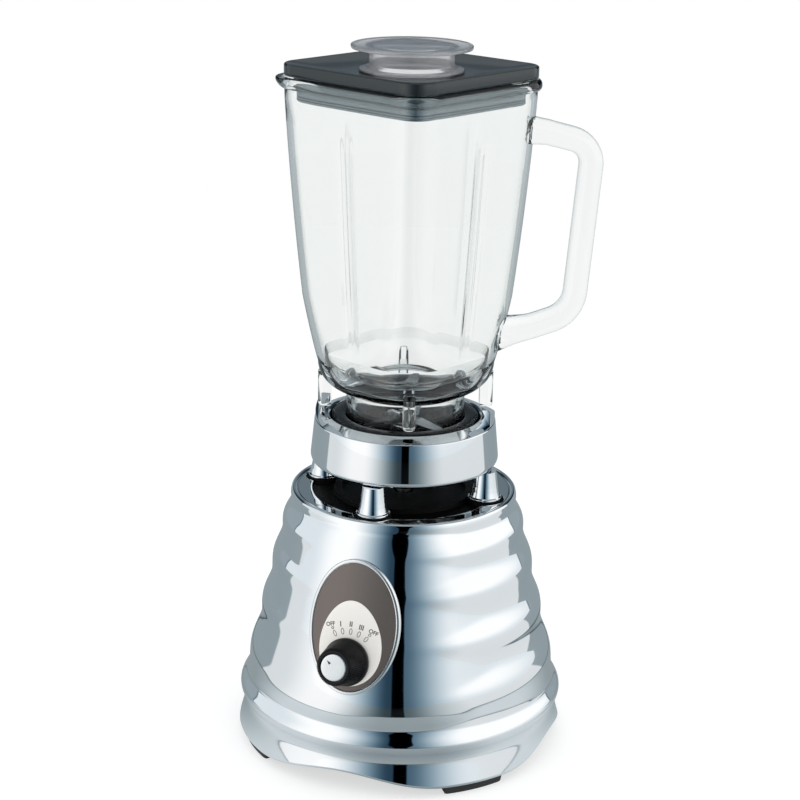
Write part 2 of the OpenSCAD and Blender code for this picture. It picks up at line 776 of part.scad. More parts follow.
module carbon_brushes()
    color("#202020") for (turn = [0, 180]) rotate(turn)
        translate([commutator_r + loose_gap, -brush_w / 2, brush_z - brush_w / 2])
            cube([brush_len, brush_w, brush_w]);

module motor_shaft()
    color(steel) translate([0, 0, fan_z - 2]) cylinder(r = shaft_r, h = stud_z - stud_h - fan_z + 2);

module drive_stud()
    color(steel) translate([0, 0, stud_z - stud_h + fixed_gap]) {
        translate([-stud_w / 2, -stud_w / 2, 2]) cube([stud_w, stud_w, stud_h - 2]);
        cylinder(r = stud_w / 2 + 1, h = 2);
    }

// Laminated rotor with open slots
module armature_core() {
    slots = 12;
    color("gray") translate([0, 0, stack_z]) linear_extrude(stack_len) difference() {
        circle(armature_r);
        circle(shaft_r + fixed_gap);
        for (i = [0 : slots - 1]) rotate(i * 360 / slots) translate([armature_r - 6, -1])
            square([7, 2]);
    }
}

module armature_windings() {
    inner = shaft_r + fixed_gap;
    outer = armature_r - 5;
    high = winding_h - fixed_gap;
    round = winding_h * 0.3;
    color(copper) for (z = [stack_z - winding_h, stack_top + fixed_gap]) translate([0, 0, z])
        rotate_extrude() polygon([[inner, 0], [outer - round, 0], [outer, round],
            [outer, high - round], [outer - round, high], [inner, high]]);
}

module commutator() {
    bars = 24;
    color(copper) translate([0, 0, commutator_z]) linear_extrude(commutator_h) difference() {
        circle(commutator_r);
        circle(shaft_r + fixed_gap);
        for (i = [0 : bars - 1]) rotate(i * 360 / bars) translate([commutator_r - 1, -0.25])
            square([2, 0.5]);
    }
}

module cooling_fan() {
    color(black) translate([0, 0, fan_z]) {
        tube(fan_r, shaft_r + fixed_gap, 1.6);
        tube(9, shaft_r + fixed_gap, fan_h);
        for (i = [0 : fan_blades - 1]) rotate(i * 360 / fan_blades)
            translate([8, -0.8, 0]) cube([fan_r - 9, 1.6, fan_h - 1]);
    }
}

// ---------------------------------------------------------------- jar

// Distance from the axis to a rounded square of half-width a and corner radius c
function square_reach(a, c, angle) =
    let (q = abs(((angle + 45) % 90) - 45))
    a * tan(q) <= a - c ? a / cos(q)
        : let (m = a - c, along = m * (cos(q) + sin(q)))
          along + sqrt(c * c - 2 * m * m + along * along);

// Sampling angles: close together on the corners and on the flute down each face
side_angles = [-6, -3, 0, 3, 6, 15, 25, 32, 37.5, 42.5, 47.5, 52.5, 58, 65, 75];
ring_angles = [for (side = [0 : 90 : 270], a = side_angles) (side + a + 360) % 360];
function flute_at(angle) = let (q = abs(((angle + 45) % 90) - 45))
    q < 6 ? (1 + cos(30 * q)) / 2 : 0;
spout_angle = 225;
function spout_at(angle) = let (d = abs(angle - spout_angle)) d < 30 ? pow(cos(3 * d), 2) : 0;

// A level is [height, half-width, corner radius, flute depth, spout reach]
function level_points(level) = [for (a = ring_angles)
    let (r = square_reach(level[1], level[2], a) - level[3] * flute_at(a) + level[4] * spout_at(a))
    [r * cos(a), r * sin(a), level[0]]];

function blend(a, b, t) = a + (b - a) * t;
function eased(t) = (1 - cos(180 * max(0, min(1, t)))) / 2;
function body_half(t) = blend(jar_low_half, jar_top_half, t) + 0.9 * 4 * t * (1 - t);
function body_corner(t) = blend(jar_low_corner, jar_top_corner, min(1, 4 * t));
function flute_depth_at(t) = flute_depth * eased(t / 0.12) * eased((0.86 - t) / 0.08);

body_steps = [0, 0.06, 0.12, 0.22, 0.36, 0.5, 0.64, 0.78, 0.82, 0.86, 0.93];
outer_levels = concat(
    [[neck_foot_z, jar_neck_r, jar_neck_r, 0, 0], [jar_z, jar_neck_r, jar_neck_r, 0, 0]],
    [for (a = [25 : 20 : 85]) let (s = sin(a))
        [jar_z + jar_round_h * (1 - cos(a)), blend(jar_neck_r, jar_low_half, s),
         blend(jar_neck_r, jar_low_corner, s), 0, 0]],
    [for (t = body_steps)
        [body_z + (body_h - 8) * t, body_half(t), body_corner(t), flute_depth_at(t), 0]],
    [[rim_z - 7, jar_top_half + 0.3, jar_top_corner, 0, 0],
     [rim_z - 5, jar_top_half + rim_bead * 0.7, jar_top_corner + rim_bead * 0.7, 0, spout_reach * 0.5],
     [rim_z - 3, jar_top_half + rim_bead, jar_top_corner + rim_bead, 0, spout_reach],
     [rim_z - 1, jar_top_half + rim_bead * 0.7, jar_top_corner + rim_bead * 0.7, 0, spout_reach],
     [rim_z, jar_top_half, jar_top_corner, 0, spout_reach * 0.9]]);

throat_top = jar_z + 4;
bowl_h = jar_round_h + 4;
function inner_half(t) = body_half(t) - glass_wall;
inner_levels = concat(
    [[rim_z, jar_top_half - glass_wall, jar_top_corner - glass_wall, 0, spout_reach * 0.8]],
    [for (i = [len(body_steps) - 1 : -1 : 2]) let (t = body_steps[i])
        [body_z + (body_h - 8) * t, inner_half(t), body_corner(t) - glass_wall,
         flute_depth_at(t), 0]],
    [for (a = [80 : -20 : 20]) let (s = sin(a))
        [throat_top + bowl_h * (1 - cos(a)), blend(jar_throat_r, inner_half(0), s),
         blend(jar_throat_r, jar_low_corner - glass_wall, s), 0, 0]],
    [[throat_top, jar_throat_r, jar_throat_r, 0, 0], [neck_foot_z, jar_throat_r, jar_throat_r, 0, 0]]);

// A closed skin through rings of points; the last ring joins the first
module closed_loft(rings) {
    n = len(rings[0]);
    m = len(rings);
    polyhedron(points = [for (ring = rings) each ring],
        faces = [for (j = [0 : m - 1], i = [0 : n - 1])
            let (k = (i + 1) % n, a = j * n, b = ((j + 1) % m) * n)
            each [[a + i, b + i, b + k], [a + i, b + k, a + k]]]);
}

// A tube with an oval section swept along points in the plane of the handle
module swept_bar(path, thickness, width) {
    sides = 14;
    count = len(path);
    function heading(i) = let (a = path[max(0, i - 1)], b = path[min(count - 1, i + 1)])
        atan2(b[1] - a[1], b[0] - a[0]);
    function section(i) = let (h = heading(i)) [for (s = [0 : sides - 1])
        let (a = s * 360 / sides, u = thickness[i] / 2 * sign(cos(a)) * pow(abs(cos(a)), 0.75),
             v = width / 2 * sign(sin(a)) * pow(abs(sin(a)), 0.75))
        [path[i][0] - u * sin(h), -v, path[i][1] + u * cos(h)]];
    points = [for (i = [0 : count - 1]) each section(i)];
    walls = [for (i = [0 : count - 2], s = [0 : sides - 1])
        let (k = (s + 1) % sides, a = i * sides, b = a + sides)
        each [[a + s, b + s, b + k], [a + s, b + k, a + k]]];
    last = (count - 1) * sides;
    polyhedron(points = points, faces = concat(walls,
        [[for (s = [0 : sides - 1]) s]], [[for (s = [sides - 1 : -1 : 0]) last + s]]));
}

// Handle: out from below the rim, round a tight corner, down the grip and back in
module jar_handle() {
    top_z = rim_z - 30;
    low_z = body_z + 28;
    top_corner = 11;
    low_corner = 16;
    grip_lean = 8;
    top_root = [jar_top_half + 9, top_z + 8];
    low_root = [jar_low_half + 10, low_z - 15];
    top_turn = [for (a = [80 : -20 : 0])
        [handle_reach - top_corner + top_corner * cos(a), top_z - top_corner + top_corner * sin(a)]];
    low_turn = [for (a = [0 : -15 : -60])
        [handle_reach - grip_lean - low_corner + low_corner * cos(a), low_z + low_corner * sin(a)]];
    grip = [for (t = [0.25 : 0.25 : 0.75])
        blend(top_turn[len(top_turn) - 1], low_turn[0], t)];
    path = concat([top_root, blend(top_root, top_turn[0], 0.5)], top_turn, grip, low_turn,
        [blend(low_turn[len(low_turn) - 1], low_root, 0.6), low_root]);
    thickness = [for (i = [0 : len(path) - 1])
        i == 0 ? handle_t + 4 : i == len(path) - 1 ? handle_t + 8
            : i == len(path) - 2 ? handle_t + 2 : handle_t];
    swept_bar(path, thickness, handle_w);
}

module glass_feet() {
    lug_top = jar_z + jar_round_h * 0.6;
    for (turn = [45 : 90 : 315]) rotate(turn) translate([collar_r + loose_gap, 0, lug_z])
        linear_extrude(lug_top - lug_z) {
            translate([0, -lug_w / 2]) square([lug_len - lug_w / 2, lug_w]);
            translate([lug_len - lug_w / 2, 0]) circle(lug_w / 2);
        }
}

module glass_jar() {
    rings = [for (level = concat(outer_levels, inner_levels)) level_points(level)];
    color(glass) {
        rotate(jar_turn) {
            closed_loft(rings);
            glass_feet();
        }
        rotate(handle_turn) jar_handle();
    }
}

// Threaded ring that clamps the blade unit against the neck
module base_collar() {
    grips = 24;
    color(black) translate([0, 0, collar_z]) difference() {
        union() {
            rotate_extrude() polygon([[18, 0], [collar_r - 2, 0], [collar_r - 1.2, 1.5],
                [collar_r - 1.2, collar_h - 4], [collar_r, collar_h - 3], [collar_r, collar_h],
                [jar_neck_r + loose_gap, collar_h], [jar_neck_r + loose_gap, collar_floor_t],
                [18, collar_floor_t]]);
            for (i = [0 : grips - 1]) rotate(i * 360 / grips)
                translate([collar_r - 1.6, 0, 1.5]) cylinder(r = 1.2, h = collar_h - 5);
        }
    }
}

module sealing_gasket()
    color(rubber) translate([0, 0, gasket_z]) tube(jar_neck_r - 0.4, jar_throat_r - 2, gasket_t);

// Steel flange with the long bush that the blade shaft turns in
module blade_bearing() {
    color(steel) difference() {
        union() {
            translate([0, 0, flange_z]) cylinder(r = jar_neck_r - 0.2, h = bearing_flange_t);
            translate([0, 0, flange_z]) rotate_extrude() polygon([[0, 0], [16, 0], [14, 4], [8, 6],
                [7, 13], [0, 13]]);
            translate([0, 0, flange_z - 4]) cylinder(r = 9, h = 5);
        }
        cylinder(r = blade_shaft_r + run_gap, h = rim_z);
    }
}

blade_z = flange_z + 13 + loose_gap;
washer_t = 1;
module blade_shaft() {
    foot_z = socket_z + stud_h + 2;
    color(steel) translate([0, 0, foot_z])
        cylinder(r = blade_shaft_r, h = blade_z + 2 * blade_t + 6 + washer_t - foot_z);
}

// A blade with two arms: a flat middle and tips bent up or down
module two_arm_blade(up) {
    flat = 8;
    arm = (blade_reach - flat) / cos(up * blade_bend);
    difference() {
        union() {
            translate([-flat, -blade_w / 2, 0]) cube([2 * flat, blade_w, blade_t]);
            for (turn = [0, 180]) rotate(turn) translate([flat, 0, up > 0 ? 0 : blade_t])
                rotate([0, -up * blade_bend, 0]) translate([-0.6, 0, up > 0 ? 0 : -blade_t])
                    linear_extrude(blade_t) polygon([[0, -blade_w / 2], [arm * 0.9, -blade_w / 8],
                        [arm, blade_w / 6], [arm * 0.8, blade_w / 2.4], [0, blade_w / 2]]);
        }
        translate([0, 0, -10]) cylinder(r = blade_shaft_r + fixed_gap, h = 20);
    }
}

module upper_blade()
    color(steel) translate([0, 0, blade_z + blade_t + 2 * fixed_gap]) rotate(90) two_arm_blade(1);

module lower_blade()
    color(steel) translate([0, 0, blade_z + fixed_gap]) two_arm_blade(-0.5);

module blade_nut() {
    color(steel) translate([0, 0, blade_z + 2 * blade_t + 3 * fixed_gap]) difference() {
        union() {
            cylinder(r = 6, h = washer_t);
            translate([0, 0, washer_t - 0.1]) cylinder(r = 5.6, h = 4, $fn = 6);
        }
        translate([0, 0, -1]) cylinder(r = blade_shaft_r + fixed_gap, h = 8);
    }
}

// Socket under the blade unit that drops over the motor's square stud
module drive_socket() {
    hole = stud_w + 2 * stud_gap;
    color(steel) translate([0, 0, socket_z + 2.2]) difference() {
        cylinder(r = socket_r, h = socket_h - 6.5);
        translate([-hole / 2, -hole / 2, -1]) cube([hole, hole, stud_h - 0.5]);
        cylinder(r = blade_shaft_r + fixed_gap, h = socket_h);
    }
}

// ---------------------------------------------------------------- lid and cap

module jar_lid() {
    core_w = 2 * (jar_top_half - glass_wall - seal_gap) - 5;
    rib_w = 2 * (jar_top_half - glass_wall - seal_gap);
    pitch = plug_h / plug_ribs;
    skirt_wall = 3;
    color(black) rotate(jar_turn) difference() {
        union() {
            translate([0, 0, lid_z]) linear_extrude(lid_edge_h) rounded_square(lid_w, lid_corner);
            translate([0, 0, lid_z - plug_h]) linear_extrude(plug_h + 1)
                rounded_square(core_w, jar_top_corner - glass_wall - 2.5);
            for (i = [0 : plug_ribs - 1]) let (back = 0.9 * (plug_ribs - 1 - i))
                translate([0, 0, lid_z - plug_h + pitch * (i + 0.35)]) linear_extrude(pitch * 0.45)
                    rounded_square(rib_w - 2 * back, jar_top_corner - glass_wall - back);
        }
        translate([0, 0, dish_z]) linear_extrude(lid_dish + 1)
            rounded_square(lid_w - 2 * lid_border, lid_corner - lid_border);
        translate([0, 0, lid_z - plug_h - 1]) linear_extrude(plug_h + 1)
            rounded_square(core_w - 2 * skirt_wall, jar_top_corner - glass_wall - 5.5);
        cylinder(r = filler_r, h = lid_top_z + 1);
    }
}

// Clear cup that hangs upside down in the filler hole
module feeder_cap() {
    top = cap_z + cap_h;
    inner = cap_body_r - cap_wall;
    color([0.8, 0.78, 0.84, 0.5]) rotate_extrude() polygon([
        [inner, cap_z - cap_plug_h], [cap_body_r, cap_z - cap_plug_h], [cap_body_r, cap_z],
        [cap_flange_r, cap_z], [cap_flange_r, cap_z + 1.2], [cap_body_r, cap_z + 1.8],
        [cap_body_r, top - cap_top_t - 1], [cap_body_r + 1.5, top - cap_top_t],
        [cap_top_r, top - cap_top_t], [cap_top_r, top - 0.4], [cap_top_r - 0.4, top], [0, top],
        [0, top - cap_top_t], [inner - 1, top - cap_top_t], [inner, top - cap_top_t - 1]]);
}

// ---------------------------------------------------------------- assembly

base_shell();
bottom_cover();
rubber_feet();
cover_screws();
top_housing();
support_posts();
post_screws();
jar_ring();
seat_cushion();
dial_plate();
dial_rim();
dial_face();
switch_body();
switch_nut();
cord_bushing();
upper_bracket();
lower_bracket();
motor_bolts();
stator_core();
field_coils();
upper_bearing();
lower_bearing();
brush_holders();
carbon_brushes();
motor_shaft();
drive_stud();
armature_core();
armature_windings();
commutator();
cooling_fan();
control_knob();
knob_disc();
switch_shaft();
glass_jar();
base_collar();
sealing_gasket();
blade_bearing();
blade_shaft();
upper_blade();
lower_blade();
blade_nut();
drive_socket();
jar_lid();
feeder_cap();
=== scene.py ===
"""Dresses the countertop blender: chrome housing, glass jar, lid, dial and the works inside."""

from contextlib import contextmanager
from math import acos, atan, cos, pi, radians, sin, sqrt, tan

import bmesh
import bpy
import numpy as np
from mathutils import Matrix, Vector


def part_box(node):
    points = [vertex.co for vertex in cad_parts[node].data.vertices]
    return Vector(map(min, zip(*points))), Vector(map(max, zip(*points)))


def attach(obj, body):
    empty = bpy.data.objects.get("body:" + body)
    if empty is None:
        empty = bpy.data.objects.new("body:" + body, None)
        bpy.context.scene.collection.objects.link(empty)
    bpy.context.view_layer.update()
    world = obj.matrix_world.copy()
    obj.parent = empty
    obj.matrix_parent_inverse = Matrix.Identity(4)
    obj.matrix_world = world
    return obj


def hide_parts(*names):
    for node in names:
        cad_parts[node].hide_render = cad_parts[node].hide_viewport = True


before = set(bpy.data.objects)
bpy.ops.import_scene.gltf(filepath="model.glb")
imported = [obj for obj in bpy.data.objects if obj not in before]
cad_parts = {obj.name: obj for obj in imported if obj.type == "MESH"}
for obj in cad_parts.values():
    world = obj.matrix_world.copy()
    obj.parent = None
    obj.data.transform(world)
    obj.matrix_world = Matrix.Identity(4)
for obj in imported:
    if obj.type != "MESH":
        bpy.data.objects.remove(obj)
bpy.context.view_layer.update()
MM = 0.001
TURN = 2 * pi


def node_box(node):
    """Lowest and highest corner of a CAD node, in millimetres."""
    low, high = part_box(node)
    return np.array(low) / MM, np.array(high) / MM


# --- sizes, in millimetres

# Housing: band heights from the worktop up, and the radii in the creases between them
BAND_HEIGHTS = [20, 16.5, 29, 24.5, 24.5, 18.5]
CREASE_Z = [0] + [sum(BAND_HEIGHTS[:i + 1]) for i in range(len(BAND_HEIGHTS))]
FOOT_R, SKIRT_R, BELLY_R, NECK_R = 85.6, 86.4, 83, 59.6
BELLY_Z, NECK_Z = CREASE_Z[2], CREASE_Z[6]
DECK_Z = node_box("base_shell")[1][2]
SKIRT_BULGE, SKIRT_DIP, BAND_BULGE, LIP_BULGE, SHOULDER = 2.7, 2, 1.8, 0.7, 0.8
FRONT_BULGE, FRONT_SHIFT = BAND_BULGE + SHOULDER + 0.5, 6
HOUSING_WALL = 2.4
FOOT_LIP, ARCH_RISE = 5, 6.5
FOOT_BEARING, FOOT_HALF_ANGLE = radians(48), radians(11.5)
POST_CIRCLE_R, SCALLOP_R, DECK_OPENING_R = 45.3, 10.1, 48.5

# Dial
PLATE_Z, PLATE_W, PLATE_H, RIM_W = 89, 49, 70, 2
FACE_W, FACE_H, FACE_DROP, KNOB_DROP = 33.5, 44, 9.6, 19
DIAL_TILT = atan((BELLY_R - NECK_R) / (NECK_Z - BELLY_Z))

# Jar and lid: both are turned so that one corner carries the handle
HANDLE_TURN = radians(22.7)
JAR_TURN = HANDLE_TURN - TURN / 8
JAR_WALL = 3.2
LID_EDGE, LID_DISH, PLUG_DEPTH, LID_HALF, LID_CORNER = 6.3, 3.6, 13, 49.1, 13.4
LID_TOP_Z = node_box("jar_lid")[1][2]


def cone_r(z):
    """Radius of the cone through the housing's upper creases."""
    return BELLY_R + (NECK_R - BELLY_R) * (z - BELLY_Z) / (NECK_Z - BELLY_Z)


def shoulder_at(z):
    """How far the shoulder fills the cone out, most of all a fifth of the way down."""
    return SHOULDER * sin(pi * ((z - BELLY_Z) / (NECK_Z - BELLY_Z)) ** 3)


CREASE_R = [FOOT_R, SKIRT_R] + [cone_r(z) + shoulder_at(z) for z in CREASE_Z[2:]]


# --- mesh helpers

def placed(name, data):
    """A new object of that data, linked into the scene."""
    thing = bpy.data.objects.new(name, data)
    bpy.context.scene.collection.objects.link(thing)
    return thing


def make_piece(name, points, faces, finish, sharp_deg=35):
    """A mesh object at the origin; points are in millimetres."""
    mesh = bpy.data.meshes.new(name)
    mesh.from_pydata([tuple(p) for p in np.asarray(points, float) * MM], [], faces)
    return finish_piece(name, mesh, finish, sharp_deg)


def finish_piece(name, mesh, finish, sharp_deg=35):
    """Gives a mesh its material and shading and links it into the scene."""
    mesh.validate()
    shade(mesh, sharp_deg)
    mesh.materials.clear()
    mesh.materials.append(finish)
    mesh.update()
    return placed(name, mesh)


def ring_faces(count, sides, looped):
    """Quads between rings of points; the last ring joins the first when looped."""
    faces = []
    for j in range(count if looped else count - 1):
        a, b = j * sides, (j + 1) % count * sides
        for i in range(sides):
            k = (i + 1) % sides
            faces.append((a + i, a + k, b + k, b + i))
    return faces


def round_turn(steps):
    """Bearings spread evenly round a full turn."""
    return np.arange(steps) * TURN / steps


def ring_at(r, bearing, z):
    """A ring of points by their distance from the axis, bearing and height."""
    r, bearing, z = np.broadcast_arrays(r, bearing, z)
    return np.stack([r * np.cos(bearing), r * np.sin(bearing), z], axis=1)


def skin(name, rings, finish, looped=True, sharp_deg=35):
    """Skins rings of points, lowest inside ring last, so that the faces point outwards."""
    rings = np.asarray(rings, float)
    count, sides = rings.shape[:2]
    faces = ring_faces(count, sides, looped)
    if not looped:
        faces.append(tuple(reversed(range(sides))))
        faces.append(tuple((count - 1) * sides + i for i in range(sides)))
    return make_piece(name, rings.reshape(-1, 3), faces, finish, sharp_deg)


def filleted(corners, steps=5, closed=True):
    """Outline through (x, y, fillet radius) corners, with an arc at each corner that has one."""
    out = []
    count = len(corners)
    for i, (x, y, radius) in enumerate(corners):
        here = np.array([x, y], float)
        if radius <= 0 or (not closed and i in (0, count - 1)):
            out.append(here)
            continue
        before = np.array(corners[i - 1][:2], float) - here
        after = np.array(corners[(i + 1) % count][:2], float) - here
        len_b, len_a = np.linalg.norm(before), np.linalg.norm(after)
        u, v = before / len_b, after / len_a
        half = acos(max(-1, min(1, float(u @ v)))) / 2
        reach = min(radius / tan(half), 0.48 * len_b, 0.48 * len_a)
        size = reach * tan(half)
        middle = here + (u + v) / np.linalg.norm(u + v) * size / sin(half)
        start, end = here + u * reach - middle, here + v * reach - middle
        sweep = acos(max(-1, min(1, float(start @ end) / size ** 2)))
        for s in range(steps + 1):
            w = s / steps
            arc = (sin((1 - w) * sweep) * start + sin(w * sweep) * end) / sin(sweep)
            out.append(middle + arc)
    return np.array(out)


def revolve(name, outline, finish, steps, centre=(0, 0)):
    """Turns an (r, z) outline, listed up the outside and down the inside, about +Z."""
    rings = [ring_at(r, round_turn(steps), z) + [*centre, 0] for r, z in outline]
    return weld(skin(name, rings, finish))


@contextmanager
def editing(mesh):
    """Opens a mesh for editing and writes it back."""
    edit = bmesh.new()
    edit.from_mesh(mesh)
    yield edit
    edit.to_mesh(mesh)
    edit.free()


def weld(piece, distance=1e-6):
    """Merges doubled points, such as a pole's."""
    with editing(piece.data) as edit:
        bmesh.ops.remove_doubles(edit, verts=edit.verts, dist=distance)
        bmesh.ops.dissolve_degenerate(edit, edges=edit.edges, dist=distance)
    piece.data.set_sharp_from_angle(angle=radians(35))
    return piece


def joined(name, pieces, finish):
    """Joins pieces into one object with one mesh."""
    mesh = bpy.data.meshes.new(name)
    with editing(mesh) as edit:
        for piece in pieces:
            edit.from_mesh(piece.data)
            bpy.data.objects.remove(piece)
    return finish_piece(name, mesh, finish)


def evaluated_mesh(piece):
    """A new mesh of what the piece's modifiers or letters make."""
    graph = bpy.context.evaluated_depsgraph_get()
    return bpy.data.meshes.new_from_object(piece.evaluated_get(graph))


def shade(mesh, sharp_deg):
    """Smooths a mesh, except over edges that turn by more than the angle."""
    mesh.polygons.foreach_set("use_smooth", [True] * len(mesh.polygons))
    mesh.set_sharp_from_angle(angle=radians(sharp_deg))


def bake_modifiers(piece, sharp_deg=35):
    """Turns a piece's modifiers into plain mesh."""
    mesh, old = evaluated_mesh(piece), piece.data
    piece.modifiers.clear()
    piece.data = mesh
    bpy.data.meshes.remove(old)
    mesh.name = piece.name
    shade(mesh, sharp_deg)


def cut(piece, cutter, operation="DIFFERENCE"):
    """Applies a boolean with another mesh, which is used up."""
    tool = piece.modifiers.new("cut", "BOOLEAN")
    tool.operation, tool.object, tool.solver = operation, cutter, "EXACT"
    bake_modifiers(piece)
    bpy.data.objects.remove(cutter)


def moved_points(piece, where):
    """Moves each point to where(across, up, out) says, in millimetres."""
    for vertex in piece.data.vertices:
        vertex.co = Vector(where(*(vertex.co / MM))) * MM


def bevel(piece, width, angle_deg):
    """Rounds a piece's edges by a width in millimetres."""
    tool = piece.modifiers.new("bevel", "BEVEL")
    tool.width, tool.segments = width * MM, 2
    tool.limit_method, tool.angle_limit = "ANGLE", radians(angle_deg)
    bake_modifiers(piece)


def mount(piece, body, slot, *nodes):
    """Rides a finished piece on its body, in place of the CAD nodes that it shows."""
    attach(piece, body)
    if nodes:
        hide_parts(*nodes)
    return piece


# --- node writing

def math_node(operation, swapped=False):
    """A method that adds one Math node."""
    def apply(self, other=0.0):
        first, second = (other, self) if swapped else (self, other)
        return self.writer.node("ShaderNodeMath", {0: first, 1: second}, operation=operation)
    return apply


class Signal:
    """A number on a wire between nodes; arithmetic on it adds Math nodes."""

    def __init__(self, writer, socket):
        self.writer, self.socket = writer, socket

    __add__ = __radd__ = math_node("ADD")
    __mul__ = __rmul__ = math_node("MULTIPLY")
    __sub__, __rsub__ = math_node("SUBTRACT"), math_node("SUBTRACT", swapped=True)
    __truediv__, __pow__ = math_node("DIVIDE"), math_node("POWER")
    sine, cosine, absolute = math_node("SINE"), math_node("COSINE"), math_node("ABSOLUTE")
    at_least, at_most = math_node("MAXIMUM"), math_node("MINIMUM")
    bearing_from = math_node("ARCTAN2")

    def clamped(self):
        return self.at_least(0.0).at_most(1.0)

    def step(self, low, high):
        """0 below low, 1 above high, and a smooth rise between."""
        return self.writer.node("ShaderNodeMapRange",
                                {"Value": self, "From Min": low, "From Max": high}, "Result",
                                interpolation_type="SMOOTHSTEP")

    def swing(self, low, high):
        """The same step between two angles in degrees."""
        return self.step(radians(low), radians(high))


class Nodes:
    """Writes nodes into a tree from their type, settings and sockets."""

    def node(self, kind, sockets=None, output=0, **settings):
        """Adds a node: settings first, then the values or wires of its sockets."""
        node = self.tree.nodes.new(kind)
        for key, value in settings.items():
            setattr(node, key, value)
        for key, value in (sockets or {}).items():
            if isinstance(value, Signal):
                self.tree.links.new(value.socket, node.inputs[key])
            else:
                node.inputs[key].default_value = value
        return Signal(self, node.outputs[output])

    def point(self, x=0.0, y=0.0, z=0.0):
        return self.node("ShaderNodeCombineXYZ", {0: x, 1: y, 2: z})

    def parts(self, vector):
        """A vector's x, y and z."""
        split = self.node("ShaderNodeSeparateXYZ", {0: vector}).socket.node
        return [Signal(self, out) for out in split.outputs]


class Recipe(Nodes):
    """A geometry tree with named inputs for its sizes; it ends in plain mesh with a finish."""

    def __init__(self, name, **sizes):
        self.tree = bpy.data.node_groups.new(name, "GeometryNodeTree")
        self.keys = {}
        self.socket("geometry", "Geometry")
        for label, value in sizes.items():
            kind = "Int" if isinstance(value, int) else "Float"
            self.socket(label, kind).default_value = value
        self.socket("finish", "Material")
        self.socket("geometry", "Geometry", "OUTPUT")
        inputs = self.tree.nodes.new("NodeGroupInput").outputs
        self.given = {label: Signal(self, out) for label, out in zip(self.keys, inputs)}

    def socket(self, label, kind, way="INPUT"):
        """A named input or output of the tree."""
        socket = self.tree.interface.new_socket(label.replace("_", " ").title(), in_out=way,
                                                socket_type="NodeSocket" + kind)
        self.keys.setdefault(label, socket.identifier)
        return socket

    def attribute(self, name):
        """A number stored on every point of the piece."""
        return self.node("GeometryNodeInputNamedAttribute", {"Name": name}, "Attribute",
                         data_type="FLOAT")

    def place(self):
        """The point on the piece: its x, y, z and its distance from the axis."""
        x, y, z = self.parts(self.node("GeometryNodeInputPosition"))
        return x, y, z, (x * x + y * y) ** 0.5

    def moved(self, x, y, z):
        """The piece with its points moved there."""
        return self.node("GeometryNodeSetPosition", {
            "Geometry": self.given["geometry"], "Position": self.point(x, y, z)})

    def close(self, geometry):
        """Ends the tree in plain mesh that wears the finish."""
        whole = self.node("GeometryNodeRealizeInstances", {0: geometry})
        dressed = self.node("GeometryNodeSetMaterial", {
            "Geometry": whole, "Material": self.given["finish"]})
        end = self.tree.nodes.new("NodeGroupOutput")
        self.tree.links.new(dressed.socket, end.inputs[0])
        return self

    def grow(self, piece, sharp_deg=35, attributes=None, **sizes):
        """Runs the tree on a piece and leaves plain mesh; attributes give a number a point."""
        for name, values in (attributes or {}).items():
            stored = piece.data.attributes.new(name, "FLOAT", "POINT")
            stored.data.foreach_set("value", np.asarray(values, float).ravel())
        tool = piece.modifiers.new(self.tree.name, "NODES")
        tool.node_group = self.tree
        tool[self.keys["finish"]] = piece.data.materials[0]
        for label, value in sizes.items():
            tool[self.keys[label]] = value
        bake_modifiers(piece, sharp_deg)
        for name in attributes or {}:
            piece.data.attributes.remove(piece.data.attributes[name])
        return piece


def ring_of_copies():
    """Repeats the piece round the axis; each copy is turned with its place on the ring."""
    tree = Recipe("ring_of_copies", copies=4, ring_radius=0.0, first_turn=0.0, turn_each=TURN / 4)
    given = tree.given
    turn = tree.node("GeometryNodeInputIndex") * given["turn_each"] + given["first_turn"]
    points = tree.node("GeometryNodePoints", {
        "Count": given["copies"],
        "Position": tree.point(turn.cosine() * given["ring_radius"],
                               turn.sine() * given["ring_radius"])})
    facing = tree.node("FunctionNodeEulerToRotation", {0: tree.point(z=turn)})
    return tree.close(tree.node("GeometryNodeInstanceOnPoints", {
        "Points": points, "Instance": given["geometry"], "Rotation": facing}))


def ribs_round():
    """Raises ribs round the axis, by the height that each point stores."""
    tree = Recipe("ribs_round", ribs=24, share=0.5, edge=0.75, crown=1.0)
    x, y, z, reach = tree.place()
    given = tree.given
    wave = given["share"] + given["edge"] * (y.bearing_from(x) * given["ribs"]).cosine()
    grown = 1 + tree.attribute("rib_height") * wave.clamped() ** given["crown"] / reach
    return tree.close(tree.moved(x * grown, y * grown, z))


def rippled_wall():
    """Swells the wall between creases, and lets a smooth front run through the ripples."""
    tree = Recipe("rippled_wall", swell=1.0, front_blend=0.0005)
    x, y, z, reach = tree.place()
    wave = (1 - (tree.attribute("band_share") * TURN).cosine()) / 2
    rippled = reach + wave * tree.attribute("band_swell") * tree.given["swell"]
    ahead = tree.attribute("front_reach") - rippled
    blended = (ahead + (ahead * ahead + tree.given["front_blend"] ** 2) ** 0.5) / 2
    grown = (rippled + blended) / reach
    return tree.close(tree.moved(x * grown, y * grown, z))


RING_OF_COPIES = ring_of_copies()
RIBS_ROUND = ribs_round()
RIPPLED_WALL = rippled_wall()


